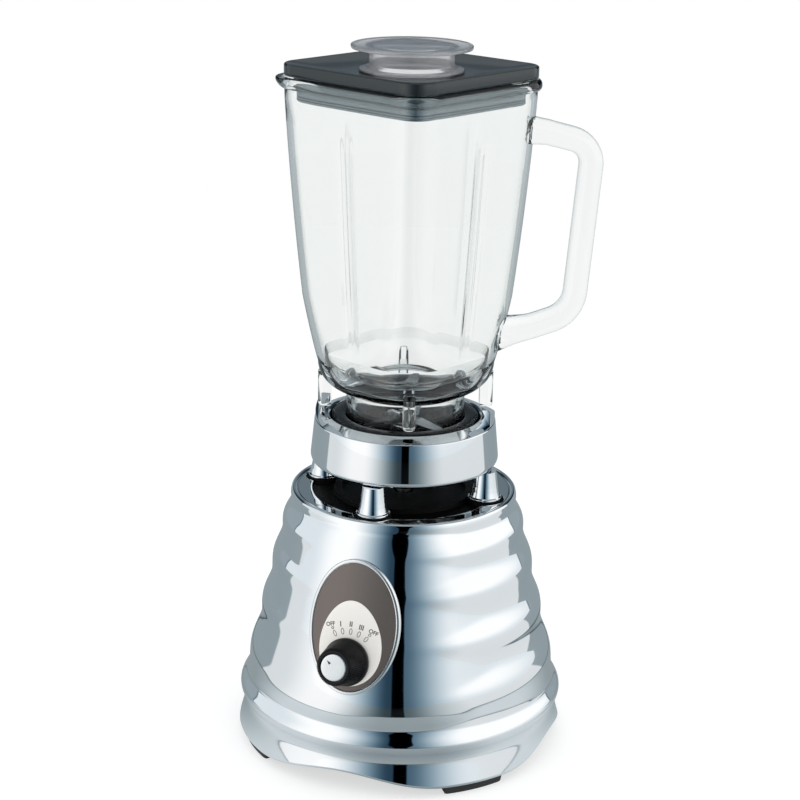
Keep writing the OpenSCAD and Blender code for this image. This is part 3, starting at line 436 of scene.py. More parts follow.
class Paint(Nodes):
    """One material: a Principled shader and the nodes that vary it over the surface."""

    def __init__(self, name, **constants):
        self.material = bpy.data.materials.new(name)
        self.material.use_nodes = True
        self.tree = self.material.node_tree
        self.shader = self.tree.nodes["Principled BSDF"]
        for socket, value in constants.items():
            socket = socket.replace("_", " ").title().replace("Ior", "IOR")
            self.shader.inputs[socket].default_value = value

    def place(self):
        """The point on the piece, in metres."""
        return self.node("ShaderNodeTexCoord", output="Object")

    def axes(self, turned=None):
        """The point's x, y and z as three numbers, after a turn of the whole frame."""
        place = self.place()
        if turned:
            place = self.node("ShaderNodeMapping", {
                "Vector": place, "Rotation": turned.to_euler()})
        return self.parts(place)

    def grain(self, scale, detail, stretch=(1, 1, 1)):
        """Noise between 0 and 1; the scale is in waves a metre."""
        where = self.node("ShaderNodeMapping", {"Vector": self.place(), "Scale": stretch})
        return self.node("ShaderNodeTexNoise", {"Vector": where, "Scale": scale, "Detail": detail},
                         "Fac", noise_dimensions="3D")

    def mix(self, amount, low, high):
        """A colour between two others."""
        low, high = (each if isinstance(each, Signal) else (*each, 1) for each in (low, high))
        return self.node("ShaderNodeMix", {"Factor": amount, 6: low, 7: high}, 2, data_type="RGBA")

    def feed(self, socket, value):
        self.tree.links.new(value.socket, self.shader.inputs[socket])

    def grey(self, level):
        """A neutral colour of that level."""
        return self.node("ShaderNodeCombineColor", {0: level, 1: level, 2: level})

    def glow(self, level, red, green, blue):
        """Feeds light whose colours fall off by these powers as the level falls."""
        self.feed("Emission Color", self.node("ShaderNodeCombineColor", {
            0: level ** red, 1: level ** green, 2: level ** blue}))

    def tint_edge_on(self, power, face_on, edge_on):
        """Feeds a colour that changes where the eye looks along the surface."""
        facing = self.node("ShaderNodeLayerWeight", output="Facing")
        self.feed("Base Color", self.mix(facing ** power, face_on, edge_on))

    def relief(self, height, depth_mm, strength=1.0):
        """Bumps the surface by a height between 0 and 1."""
        self.feed("Normal", self.node("ShaderNodeBump", {
            "Height": height, "Distance": depth_mm * MM, "Strength": strength}, output="Normal"))


# --- finishes

def grained(name, grain, rough, colours=None, relief=None, colour_grain=None,
            relief_grain=None, **constants):
    """A finish whose roughness, colour and relief follow one grain, or a grain of their own."""
    paint = Paint(name, **constants)
    main = paint.grain(*grain)
    paint.feed("Roughness", rough[0] + main * rough[1])
    if colours:
        spread = paint.grain(*colour_grain) if colour_grain else main
        paint.feed("Base Color", paint.mix(spread, *colours))
    if relief:
        paint.relief(paint.grain(*relief_grain) if relief_grain else main, *relief)
    return paint.material


def stacked_sheet():
    """Motor laminations: dark sheet edges with a fine line between each pair."""
    paint = Paint("stacked_sheet", metallic=0.8)
    lines = (paint.axes()[2] * (TURN / 0.0007)).sine().step(-0.7, 0.2)
    paint.feed("Base Color", paint.mix(lines, (0.07, 0.07, 0.075), (0.26, 0.26, 0.27)))
    paint.feed("Roughness", 0.42 + paint.grain(400, 3) * 0.2)
    paint.relief(lines, 0.08, 0.6)
    return paint.material


def wound_copper():
    """Enamelled copper wire laid in turns."""
    paint = Paint("wound_copper", metallic=0.9)
    x, y, z = paint.axes()
    turns = ((x + y * 0.6 + z * 1.7) * (TURN / 0.0011)).sine().step(-0.8, 0.8)
    paint.feed("Base Color", paint.mix(turns, (0.24, 0.08, 0.03), (0.66, 0.30, 0.12)))
    paint.feed("Roughness", 0.24 + paint.grain(300, 2) * 0.14)
    paint.relief(turns, 0.2, 0.8)
    return paint.material


def pressed_glass():
    """Thick clear glass: green-grey where the eye looks along it, gently waved by pressing."""
    paint = Paint("pressed_glass", roughness=0.0, ior=1.5, transmission_weight=1.0)
    paint.tint_edge_on(2, (0.95, 0.96, 0.955), (0.72, 0.78, 0.76))
    paint.relief(paint.grain(20, 1), 0.05, 0.2)
    return paint.material


def clear_styrene():
    """Clear plastic with a mauve-grey cast and a trace of haze."""
    paint = Paint("clear_styrene", ior=1.46, transmission_weight=0.8)
    paint.tint_edge_on(4, (0.985, 0.978, 0.99), (0.85, 0.83, 0.87))
    paint.feed("Roughness", 0.03 + paint.grain(90, 2) * 0.05)
    return paint.material


def lid_plastic():
    """Glossy black lid with a paler slate plug; painted sheen lightens its top and pulls its sides
    towards the slate.
    """
    paint = Paint("lid_plastic", coat_roughness=0.05, specular_ior_level=0.6)
    under = (LID_TOP_Z - LID_EDGE) * MM
    plug = 1 - paint.axes()[2].step(under + 0.0001, under + 0.0004)
    # Painted sheen by facing: upward faces get a warmer, lighter black, and the sides get a share
    # of the slate.
    upward = paint.parts(paint.node("ShaderNodeTexCoord", output="Normal"))[2]
    level = upward.step(0.3, 0.8)
    edge, top = (1 - level) * (1 - plug), level * (1 - plug)
    black = paint.mix(top, (0.006, 0.006, 0.006), (0.020, 0.016, 0.013))
    paint.feed("Base Color", paint.mix(plug + edge * 0.14, black, (0.23, 0.28, 0.30)))
    paint.feed("Metallic", plug * 0.9 + edge * 0.5)
    paint.feed("Coat Weight", 0.6 - top * 0.45 - edge * 0.4)
    paint.feed("Roughness", 0.08 + paint.grain(45, 3) * 0.08 + plug * 0.08)
    paint.relief(paint.grain(120, 2), 0.02, 0.25)
    return paint.material


CHROME = grained("chrome_plate", (60, 3), (0.03, 0.03),
                 ((0.865, 0.885, 0.90), (0.90, 0.915, 0.925)), (0.05, 0.35),
                 relief_grain=(28, 1), metallic=1.0)
SILVER = grained("satin_silver", (3000, 2), (0.22, 0.14), metallic=1.0,
                 base_color=(0.93, 0.93, 0.92, 1))
TAUPE = grained("taupe_enamel", (5200, 2), (0.3, 0.16),
                ((0.150, 0.125, 0.112), (0.225, 0.192, 0.175)), (0.01, 0.4), metallic=0.55)
PALE = grained("pale_enamel", (4200, 3), (0.34, 0.14),
               ((0.87, 0.845, 0.80), (0.95, 0.925, 0.88)), metallic=0.1)
INK = grained("dial_ink", (2500, 2), (0.42, 0.16), base_color=(0.03, 0.03, 0.03, 1))
SATIN_BLACK = grained("satin_black", (2600, 3), (0.19, 0.14),
                      ((0.002, 0.002, 0.003), (0.006, 0.006, 0.007)), (0.02, 0.5),
                      colour_grain=(35, 2), specular_ior_level=0.26)
DULL_BLACK = grained("dull_black", (900, 3), (0.45, 0.2), specular_ior_level=0.12,
                     base_color=(0.002, 0.002, 0.002, 1))
RUBBER = grained("black_rubber", (180, 4), (0.62, 0.22),
                 ((0.014, 0.014, 0.014), (0.034, 0.033, 0.032)), (0.04, 0.5),
                 relief_grain=(1800, 3))
STEEL = grained("turned_steel", (900, 3, (0.15, 0.15, 6)), (0.2, 0.2),
                ((0.50, 0.50, 0.49), (0.66, 0.66, 0.65)), (0.01, 0.4), metallic=1.0)
BLADE_STEEL = grained("blade_steel", (700, 3, (1, 9, 1)), (0.13, 0.16),
                      ((0.60, 0.60, 0.60), (0.74, 0.74, 0.74)), metallic=1.0)
BAR_COPPER = grained("bar_copper", (500, 3, (1, 1, 8)), (0.2, 0.2),
                     ((0.42, 0.21, 0.11), (0.74, 0.42, 0.24)), metallic=1.0)
BRASS = grained("drawn_brass", (600, 3, (0.2, 4, 4)), (0.22, 0.18),
                ((0.50, 0.36, 0.13), (0.72, 0.56, 0.25)), metallic=1.0)
CARBON = grained("pressed_carbon", (1600, 4), (0.45, 0.25),
                 ((0.010, 0.010, 0.011), (0.040, 0.040, 0.043)), (0.03, 0.5))
LAMINATIONS, COPPER = stacked_sheet(), wound_copper()
GLASS, CLEAR, LID_BLACK = pressed_glass(), clear_styrene(), lid_plastic()


# --- housing

def housing_rule(z):
    """Crease radius, share of the band and its swell at each height."""
    heights = np.linspace(0, DECK_Z, 1600)
    base, share, swell = (np.zeros_like(heights) for _ in range(3))
    for i, (low, high) in enumerate(zip(CREASE_Z, CREASE_Z[1:])):
        t = (heights - low) / (high - low)
        inside = (t >= 0) & (t <= 1)
        low_r = SKIRT_R - SKIRT_DIP if i == 1 else CREASE_R[i]
        wall = low_r + (CREASE_R[i + 1] - low_r) * t
        if i == 0:
            wall = SKIRT_R - SKIRT_DIP + 5.7 * (np.sqrt((1 - t) ** 2 + 0.004) - 0.063)
        base[inside], share[inside] = wall[inside], t[inside]
        swell[inside] = (0, SKIRT_BULGE + 0.7)[i] if i < 2 else BAND_BULGE
    t = (heights - NECK_Z) / (DECK_Z - NECK_Z)
    lip = NECK_R - 0.4 * t + LIP_BULGE * (1 - (2 * t - 1) ** 2)
    base[t > 0] = lip[t > 0]
    spread = 0.5 / (heights[1] - heights[0])
    reach = int(3 * spread)
    kernel = np.exp(-0.5 * (np.arange(-reach, reach + 1) / spread) ** 2)
    padded = np.pad(base, reach, mode="edge")
    base = np.convolve(padded, kernel / kernel.sum(), "valid")
    crease = 0.1 + 0.25 * np.exp(-((z - NECK_Z - 1.6) / 0.9) ** 2)
    nearest = np.clip(np.round(z / (heights[1] - heights[0])).astype(int), 0, len(heights) - 1)
    return np.interp(z, heights, base) - crease, share[nearest], swell[nearest], crease


def front_r(z, bearing):
    """Reach of the smooth front: a plain cone on an axis of its own, nearer the dial."""
    t = (z - BELLY_Z) / (NECK_Z - BELLY_Z)
    fade_low = np.clip(1 - 2 * t, 0, 1.3) ** 12
    fade_high = np.clip((z - NECK_Z + 9) / (DECK_Z - NECK_Z + 9), 0, 1) ** 2
    own = cone_r(z) - FRONT_SHIFT + FRONT_BULGE * (1 - fade_low - fade_high)
    across = FRONT_SHIFT * np.sin(bearing)
    return FRONT_SHIFT * np.cos(bearing) + np.sqrt(np.maximum(own ** 2 - across ** 2, 1))


def housing_foot_z(bearing):
    """Height of the housing's lower edge: arches between the four feet."""
    lift = np.zeros_like(bearing)
    arches = ((np.sin(bearing), sin(FOOT_BEARING - FOOT_HALF_ANGLE)),
              (np.cos(bearing), cos(FOOT_BEARING + FOOT_HALF_ANGLE)))
    for across, half_w in arches:
        bell = np.where(np.abs(across) < half_w, np.cos(np.pi / 2 * across / half_w) ** 2, 0)
        lift = np.maximum(lift, bell)
    return FOOT_LIP + ARCH_RISE * lift


def deck_opening_r(bearing):
    """Radius of the deck's opening, scalloped round each post."""
    off = (bearing + TURN / 8) % (TURN / 4) - TURN / 8
    inside = SCALLOP_R ** 2 - (POST_CIRCLE_R * np.sin(off)) ** 2
    scallop = np.where(inside > 0, POST_CIRCLE_R * np.cos(off) + np.sqrt(np.maximum(inside, 0)), 0)
    return np.maximum(DECK_OPENING_R, scallop)


def make_housing():
    """One shell: rippled outside wall with a smooth front, lip, deck with its opening, inside."""
    sides = 360
    bearing = round_turn(sides)
    foot = housing_foot_z(bearing)
    rings, shares, swells, fronts = [], [], [], []

    def add(r, z, share=0.0, swell=0.0, front=0.0):
        r, z, share, swell, front = np.broadcast_arrays(bearing, r, z, share, swell, front)[1:]
        rings.append(np.stack([r * np.sin(bearing), -r * np.cos(bearing), z], axis=1))
        for stored, values in ((shares, share), (swells, swell * MM), (fronts, front * MM)):
            stored.append(values)

    def add_outer(z, inset=0.0, rise=0.0):
        """A ring of the outside wall at height z, drawn in and raised for a rounded edge."""
        z = np.broadcast_to(z, sides).astype(float)
        r, share, swell, crease = housing_rule(z)
        add(r - inset, z + rise, share, swell, front_r(z, bearing) - crease - inset)

    inner_z = np.array(CREASE_Z + [DECK_Z])
    inner_r = np.array(CREASE_R + [NECK_R - 0.6])
    half_wall = HOUSING_WALL / 2
    for a in np.radians([180, 225, 270, 315]):
        add_outer(foot + half_wall, half_wall * (1 - np.cos(a)), half_wall * np.sin(a))
    low_band = BAND_HEIGHTS[0]
    for t in np.linspace(0, 1, 26)[:-1]:
        add_outer(foot + half_wall + (low_band - foot - half_wall) * t)
    for z in np.linspace(low_band, DECK_Z - 1.6, 150):
        add_outer(z)
    for a in np.radians([25, 50, 75, 105, 140, 170]):
        add_outer(DECK_Z - 1.6, 1.6 * (1 - np.cos(a)), 1.6 * np.sin(a))
    deck = DECK_Z - 0.9
    opening = deck_opening_r(bearing)
    for t in (0.0, 0.1, 0.35, 0.7, 0.95):
        add(NECK_R - 3.4 + (opening + 0.8 - NECK_R + 3.4) * t, deck)
    for a in np.radians([60, 30, 0]):
        add(opening + 0.8 - 0.8 * np.cos(a), deck - 0.8 + 0.8 * np.sin(a))
    under = DECK_Z - HOUSING_WALL
    add(opening, under)
    add(inner_r[-1] - HOUSING_WALL, under)
    for z in CREASE_Z[6:0:-1]:
        add(np.interp(z, inner_z, inner_r) - HOUSING_WALL, z)
    piece = skin("housing", rings, CHROME)
    RIPPLED_WALL.grow(piece, 60, {"band_share": shares, "band_swell": swells,
                                  "front_reach": fronts})
    mount(piece, "base", "chrome", "base_shell")


def make_feet():
    """Four rubber feet: a lip under the housing's edge and a block inside it, each screwed on."""
    block = filleted([(63.3, 0, 1.5), (85.0, 0, 1.2), (86.2, 4.8, 0.6), (81.8, 4.8, 0.4),
                      (81.8, 11.8, 0.8), (63.3, 11.8, 0.8)], 4)
    middle = block.mean(axis=0)
    rings = []
    for t in np.linspace(-1, 1, 33):
        angle = (FOOT_HALF_ANGLE - radians(0.3)) * t
        drawn_in = 0.93 + 0.07 * sqrt(max(0, 1 - ((abs(t) - 0.88) / 0.12) ** 2)) \
            if abs(t) > 0.88 else 1
        outline = middle + (block - middle) * [drawn_in, 1]
        rings.append([(r * cos(angle), r * sin(angle), z) for r, z in outline])
    foot = skin("feet", rings, RUBBER, looped=False)
    hole = revolve("hole", [(4.4, -1), (4.4, 4), (2.1, 4), (2.1, 13), (0, 13), (0, -1)],
                   RUBBER, 32, (73.8, 0))
    cut(foot, hole)
    aside = TURN / 4 - FOOT_BEARING
    RING_OF_COPIES.grow(foot, copies=2, first_turn=-aside, turn_each=2 * aside)
    RING_OF_COPIES.grow(foot, copies=2, turn_each=TURN / 2)
    mount(foot, "base", "rubber", "rubber_feet")


def make_posts():
    """Tapered posts, each on a flared foot in the deck's scallop."""
    outline = filleted([(2.1, 0, 0), (8.8, 0, 0.25), (8.8, 0.9, 0.5), (8.0, 1.5, 0.5),
                        (7.4, 4.3, 3), (6.9, 7, 6), (6.5, 9.6, 6), (6.1, 12.3, 6),
                        (5.75, 14.9, 0), (2.1, 14.9, 0)], 5)
    posts = revolve("posts", outline + [0, DECK_Z - 0.35], CHROME, 72)
    RING_OF_COPIES.grow(posts, ring_radius=POST_CIRCLE_R * MM)
    mount(posts, "base", "chrome", "support_posts")


def make_ring():
    """Jar ring: crowned top, and two ears that fall away from a square step."""
    low, high = node_box("jar_ring")
    foot, edge = low[2], high[2] - 9
    outline = filleted([(33, foot, 0.5), (50, foot, 4), (47.6, edge, 0.9),
                        (40.6, edge + 2.6, 0.7), (39.5, edge + 1.5, 0.3), (39.5, foot + 3, 0.4),
                        (33, foot + 3, 0.5)], 7)
    ring = revolve("jar_ring", outline, CHROME, 240)
    for turn in (0, TURN / 2):
        rings = []
        slope = 8 / (47.6 * sin(radians(45)))
        for a in np.radians(np.linspace(0, 44.5, 40)):
            top = edge + 9 - slope * 47.6 * sin(a)
            section = filleted([(42.3, edge - 2.5, 0), (47.2, edge - 2.5, 0),
                                (47.2, top - 1.1, 0.5), (45.4, top, 0.9), (42.3, top, 0.6)], 4)
            rings.append([(r * cos(a + turn), r * sin(a + turn), z)
                          for r, z in section])
        ear = skin("ear", rings, CHROME, looped=False)
        bevel(ear, 0.35, 60)
        cut(ring, ear, "UNION")
    ring.data.set_sharp_from_angle(angle=radians(38))
    mount(ring, "base", "chrome", "jar_ring")
    outline = filleted([(34.2, foot + 3.1, 0.2), (39.3, foot + 3.1, 0.2),
                        (39.3, foot + 4.55, 0.5), (34.2, foot + 4.55, 0.5)], 3)
    mount(revolve("seat_cushion", outline, RUBBER, 120), "base", "rubber", "seat_cushion")


def softened(node, finish, body, slot, width):
    """A CAD node with its flat faces merged and its edges rounded."""
    piece = finish_piece(node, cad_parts[node].data.copy(), finish)
    with editing(piece.data) as edit:
        bmesh.ops.remove_doubles(edit, verts=edit.verts, dist=1e-6)
        bmesh.ops.dissolve_limit(edit, angle_limit=radians(0.6), verts=edit.verts,
                                 edges=edit.edges)
    bevel(piece, width, 32)
    for face in piece.data.polygons:
        face.use_smooth = len(face.vertices) <= 4
    mount(piece, body, slot, node)


# --- dial

DIAL_FRONT = cone_r(PLATE_Z) + FRONT_BULGE
KNOB_START = 2.15


def dial_point(across, up, out):
    """The point over the dial plate, which follows the cone of the smooth front."""
    sag = out
    for _ in range(4):
        z = PLATE_Z + up * cos(DIAL_TILT) + sag * sin(DIAL_TILT)
        radius = cone_r(z) + FRONT_BULGE - FRONT_SHIFT + out
        y = -FRONT_SHIFT - sqrt(max(radius ** 2 - across ** 2, 0))
        sag = (-DIAL_FRONT + up * sin(DIAL_TILT) - y) / cos(DIAL_TILT)
    return across, y, z


def knob_point(across, up, out):
    """The point in the knob's own straight frame, out from the dial."""
    lean_c, lean_s = cos(DIAL_TILT), sin(DIAL_TILT)
    out += KNOB_START
    return (across, -DIAL_FRONT + (up - KNOB_DROP) * lean_s - out * lean_c,
            PLATE_Z + (up - KNOB_DROP) * lean_c + out * lean_s)


def oval(width, height, egg=0.0, drop=0.0, steps=128):
    """Outline of an ellipse, or of an egg that is wider towards its lower end."""
    a = round_turn(steps)
    return np.stack([width / 2 * np.cos(a) * (1 - egg * np.sin(a)),
                     height / 2 * np.sin(a) - drop], axis=1)


def plate_over_dial(name, outline, centre, low, high, round_edge, finish):
    """A thin plate that follows the front, with a rounded upper edge."""
    from_centre = outline - centre
    span = np.linalg.norm(from_centre, axis=1, keepdims=True)
    levels = [(0.02, low), (0.5, low), (1, low), (1, high - round_edge)]
    levels += [(1 - round_edge * (1 - cos(a)) / span, high - round_edge + round_edge * sin(a))
               for a in (radians(30), radians(60))]
    levels += [(scale, high) for scale in (0.985, 0.9, 0.75, 0.6, 0.45, 0.3, 0.15, 0.02)]
    rings = [[dial_point(u, v, out) for u, v in centre + from_centre * scale]
             for scale, out in levels]
    return skin(name, rings, finish, looped=False)


def make_dial():
    """Oval plate with its bright rim, the egg-shaped face and the marks round the knob."""
    outer, inner = (oval(PLATE_W - w, PLATE_H - w, drop=1.3) + [0.5, 0] for w in (0, 2 * RIM_W))
    profile = filleted([(0, 0.12, 0), (0, 1.2, 0.5), (0.45, 1.68, 0.5), (1.45, 1.68, 0.4),
                        (2, 1.35, 0.1), (2, 0.12, 0)], 4)
    rings = [[dial_point(*(o + (i - o) * s / RIM_W), h) for o, i in zip(outer, inner)]
             for s, h in profile]
    mount(skin("dial_rim", rings, SILVER), "base", "silver", "dial_rim")
    plate = plate_over_dial("dial_plate", inner * 0.996, (0, -FACE_DROP), 0.12, 1.28, 0.1, TAUPE)
    mount(plate, "base", "taupe", "dial_plate")
    face = plate_over_dial("dial_face", oval(FACE_W, FACE_H, 0.12, FACE_DROP) + [0.3, 0],
                           (0, -FACE_DROP), 1.36, 1.88, 0.25, PALE)
    mount(face, "base", "cream", "dial_face")
    make_dial_marks()


def printed_words(words, size, angle_deg, radius):
    """Letters in the flat of the dial, leaning a little round the knob."""
    curve = bpy.data.curves.new("letters", "FONT")
    curve.body, curve.size = words, size * MM
    curve.extrude, curve.offset = 0.01 * MM, 0.02 * size * MM
    curve.align_x, curve.align_y = "CENTER", "CENTER"
    holder = placed("letters", curve)
    mesh = evaluated_mesh(holder)
    bpy.data.objects.remove(holder)
    angle = radians(angle_deg)
    place = Vector((cos(angle), sin(angle), 0)) * radius * MM
    mesh.transform(Matrix.Translation(place) @ Matrix.Rotation((angle - TURN / 4) * 0.5, 4, "Z"))
    return finish_piece("letters", mesh, INK)


def small_loop(radius, width, height, line):
    """An outlined oval in the flat of the dial, that distance to the right of the knob."""
    rings = [[(radius + y, x, out) for x, y in oval(width + 2 * grow, height + 2 * grow, steps=28)]
             for grow, out in ((-line, -0.015), (-line, 0.02), (0, 0.02), (0, -0.015))]
    return skin("loop", rings, INK)


def make_dial_marks():
    """Positions of the switch: words, and loops that stand round the knob like a fan."""
    pieces = [printed_words(words, size, angle, radius) for words, size, angle, radius in (
        ("OFF", 2.9, 122, 20.8), ("I", 3.7, 106, 19.3), ("II", 3.7, 89, 19.3),
        ("III", 3.7, 72, 19.3), ("OFF", 2.9, 53.5, 20.8))]
    for loop, copies, each in (((15.6, 1.7, 3.3, 0.28), 5, -16.5),
                               ((18.6, 1.5, 1.5, 0.3), 2, -66)):
        pieces.append(RING_OF_COPIES.grow(small_loop(*loop), copies=copies,
                                          first_turn=radians(121), turn_each=radians(each)))
    marks = joined("dial_marks", pieces, INK)
    moved_points(marks, lambda across, up, out: dial_point(across, up - KNOB_DROP, 1.9 + out))
    mount(marks, "base", "cream")


def ribbed(name, profile, ribs, steps, **sizes):
    """Turns (r, z, rib height) rows about +Z and raises ribs round the piece."""
    bearing = round_turn(ribs * steps)
    piece = skin(name, [ring_at(r, bearing, z) for r, z, _ in profile], SATIN_BLACK)
    heights = [np.full_like(bearing, height * MM) for _, _, height in profile]
    return RIBS_ROUND.grow(piece, 50, {"rib_height": heights}, ribs=ribs, **sizes)


def make_knob():
    """Ribbed cone with a bright disc let into its nose; the pointer is engraved on the disc."""
    profile = [(8.2, 0, 0), (11.9, 0, 0), (12.2, 0.15, 0), (12.3, 0.5, 0), (12.3, 1.9, 0),
               (12.2, 2.3, 0.05), (12.05, 2.6, 0.45), (11.9, 3, 0.8)]
    profile += [(11.9 + (9.55 - 11.9) * t, 3 + 13.9 * t, 0.8) for t in np.linspace(0.08, 0.97, 9)]
    profile += [(9.45, 17.2, 0.7), (9.2, 17.8, 0.5), (8.75, 18.15, 0.25), (8.2, 18.25, 0),
                (7.1, 18.25, 0), (6.86, 18.1, 0), (6.8, 17.5, 0), (6.7, 17.4, 0), (3.1, 17.4, 0),
                (3.1, 9, 0), (8.2, 2.6, 0)]
    knob = ribbed("control_knob", [(r - rib, out, rib) for r, out, rib in profile],
                  ribs=62, steps=8)
    moved_points(knob, knob_point)
    mount(knob, "knob", "black_matte", "control_knob")

    outline = ((0.2, 17.5), (6.5, 17.5), (6.7, 17.6), (6.7, 18.3), (6.55, 18.42), (6.1, 18.46),
               (4, 18.49), (2, 18.5), (0.2, 18.5))
    disc = skin("knob_disc", [ring_at(r, round_turn(96), out) for r, out in outline], SILVER,
                looped=False)
    moved_points(disc, knob_point)
    mount(disc, "knob", "silver", "knob_disc")

    lean = radians(139)
    ahead, aside = (np.array([cos(a), sin(a)]) for a in (lean, lean + TURN / 4))
    wedge = [ahead * 5, ahead * 2.6 + aside * 0.75, ahead * 2.6 - aside * 0.75]
    rings = [[(*corner, out) for corner in wedge] for out in (18.4, 18.54)]
    pointer = skin("pointer", rings, INK, looped=False)
    moved_points(pointer, knob_point)
    mount(pointer, "knob", "black_matte")


# --- jar

JAR_LOW, JAR_HIGH = node_box("glass_jar")
COLLAR_TOP = node_box("base_collar")[1][2]
RIM_Z = JAR_HIGH[2]
NECK_FOOT_Z = JAR_LOW[2]
JAR_Z = NECK_FOOT_Z + 28
BODY_Z = JAR_Z + 15
BODY_H = RIM_Z - BODY_Z - 8


def square_reach(half, corner, angle):
    """Distance from the axis to a rounded square, in a direction."""
    q = np.abs((angle + TURN / 8) % (TURN / 4) - TURN / 8)
    m = half - corner
    along = m * (np.cos(q) + np.sin(q))
    rounded = along + np.sqrt(np.maximum(corner ** 2 - 2 * m * m + along ** 2, 0))
    return np.where(half * np.tan(q) <= m, half / np.cos(q), rounded)


def flute(angle, half_deg=7.5):
    """Cross-section of the flute down each face, between 0 and 1."""
    q = np.degrees(np.abs((angle + TURN / 8) % (TURN / 4) - TURN / 8))
    t = np.clip((half_deg - q) / 6, 0, 1)
    return t * t * (3 - 2 * t)


def four_sides(bearings):
    """Bearings in degrees about one side, repeated for all four, in radians."""
    return np.radians(np.concatenate([bearings + side for side in (0, 90, 180, 270)]))


def eased(t):
    """A smooth rise from 0 to 1."""
    t = np.clip(t, 0, 1)
    return (1 - np.cos(np.pi * t)) / 2


def jar_ring_points(angle, z, half, corner, cut_in=0.0, spout=0.0):
    """A rounded square round the jar, with its flutes cut in and one corner drawn out to pour."""
    off = np.degrees(np.abs(angle - radians(225)))
    lip = np.where(off < 30, np.cos(np.radians(3 * np.minimum(off, 30))) ** 2, 0)
    r = square_reach(half, corner, angle) - cut_in * flute(angle) + spout * lip
    return ring_at(r, angle + JAR_TURN, z)


def jar_half(t):
    """Half the jar's width between its sides, by the share of its height."""
    return 40.2 + 9.8 * t + 3.6 * t * (1 - t)


def jar_corner(t):
    """Radius of the jar's corners."""
    return 26 - 9 * min(1, 4 * t) ** 0.8


def make_glass_body():
    """Square jar: round neck, bellied sides with a flute down each, a bead and a pouring lip."""
    angle = four_sides(np.concatenate([np.linspace(low, high, count)[:-1] for low, high, count in (
        (-8, 8, 25), (8, 24, 6), (24, 66, 26), (66, 82, 6))]))

    def cut_at(t):
        return 0.8 * float(eased(t / 0.2) * eased((0.92 - t) / 0.14))

    rings = []

    def add(*level):
        rings.append(jar_ring_points(angle, *level))

    neck_r, throat_r = 31, 26.5
    for z in (0, 6, 14, 22, 27):
        add(NECK_FOOT_Z + z, neck_r, neck_r)
    for a in np.radians(np.linspace(6, 88, 12)):
        out = sin(a)
        add(JAR_Z + (BODY_Z - JAR_Z) * (1 - cos(a)), neck_r + (jar_half(0) - neck_r) * out,
            neck_r + (jar_corner(0) - neck_r) * out)
    shares = np.concatenate([np.linspace(0, 0.14, 9), np.linspace(0.14, 0.8, 24)[1:],
                             np.linspace(0.8, 0.9, 9)[1:], [0.94, 0.98]])
    for t in shares:
        add(BODY_Z + BODY_H * t, jar_half(t), jar_corner(t), cut_at(t))
    bead, bead_rise, spout = 2.1, 2.9, 3.496
    for a in np.radians(np.linspace(-90, 90, 15)):
        grow = bead * cos(a)
        add(RIM_Z - bead_rise + bead_rise * sin(a), jar_half(1) + grow, jar_corner(1) + grow,
            0, spout * (1 + sin(a)) / 2)
    for a in np.radians([60, 120, 180]):
        add(RIM_Z - 0.8 + 0.8 * sin(a), 47.6 + 0.72 * cos(a), 14.6, 0, 2.5)
    for t in shares[::-1]:
        add(BODY_Z + BODY_H * t, jar_half(t) - JAR_WALL, jar_corner(t) - JAR_WALL, cut_at(t),
            1.6 * max(0, (t - 0.9) / 0.1))
    throat, bowl = JAR_Z + 4, 19
    for a in np.radians(np.linspace(84, 8, 11)):
        out = sin(a)
        add(throat + bowl * (1 - cos(a)), throat_r + (jar_half(0) - JAR_WALL - throat_r) * out,
            throat_r + (jar_corner(0) - JAR_WALL - throat_r) * out)
    for z in (throat - 2, throat - 12, throat - 22, NECK_FOOT_Z):
        add(z, throat_r, throat_r)
    return skin("glass_jar", rings, GLASS, sharp_deg=60)


def make_handle():
    """Solid glass handle with flattened sides, thicker where it runs into the jar."""
    top_z, low_z = RIM_Z - 30, BODY_Z + 28
    corners = [(52, top_z + 5, 0), (70, top_z + 3, 16), (93, top_z - 3, 13),
               (86, low_z - 2, 19), (63, low_z - 10, 16), (42, low_z - 14, 0)]
    path = filleted(corners, 14, closed=False)
    keep = [0] + [i for i in range(1, len(path)) if np.linalg.norm(path[i] - path[i - 1]) > 0.3]
    path = path[keep]
    length = np.concatenate([[0], np.cumsum(np.linalg.norm(np.diff(path, axis=0), axis=1))])
    even = np.linspace(0, length[-1], 110)
    path = np.stack([np.interp(even, length, path[:, i]) for i in (0, 1)], axis=1)
    share = even / even[-1]
    tall = 12.3 + 5.5 * np.maximum(0, 1 - share / 0.13) ** 2 + 9 * np.maximum(
        0, (share - 0.84) / 0.16) ** 2
    wide = 16 + 2.5 * np.maximum(0, 1 - share / 0.1) ** 2 + 3 * np.maximum(
        0, (share - 0.88) / 0.12) ** 2
    heading = np.gradient(path, axis=0)
    heading /= np.linalg.norm(heading, axis=1, keepdims=True)
    rings = []
    s = round_turn(40)
    for (r, z), (hr, hz), t, w in zip(path, heading, tall, wide):
        u = t / 2 * np.sign(np.cos(s)) * np.abs(np.cos(s)) ** 0.72
        v = w / 2 * np.sign(np.sin(s)) * np.abs(np.sin(s)) ** 0.72
        radial, height = r - u * hz, z + u * hr
        rings.append(np.stack([radial * cos(HANDLE_TURN) + v * sin(HANDLE_TURN),
                               radial * sin(HANDLE_TURN) - v * cos(HANDLE_TURN),
                               height], axis=1))
    return skin("handle", rings, GLASS, looped=False, sharp_deg=60)


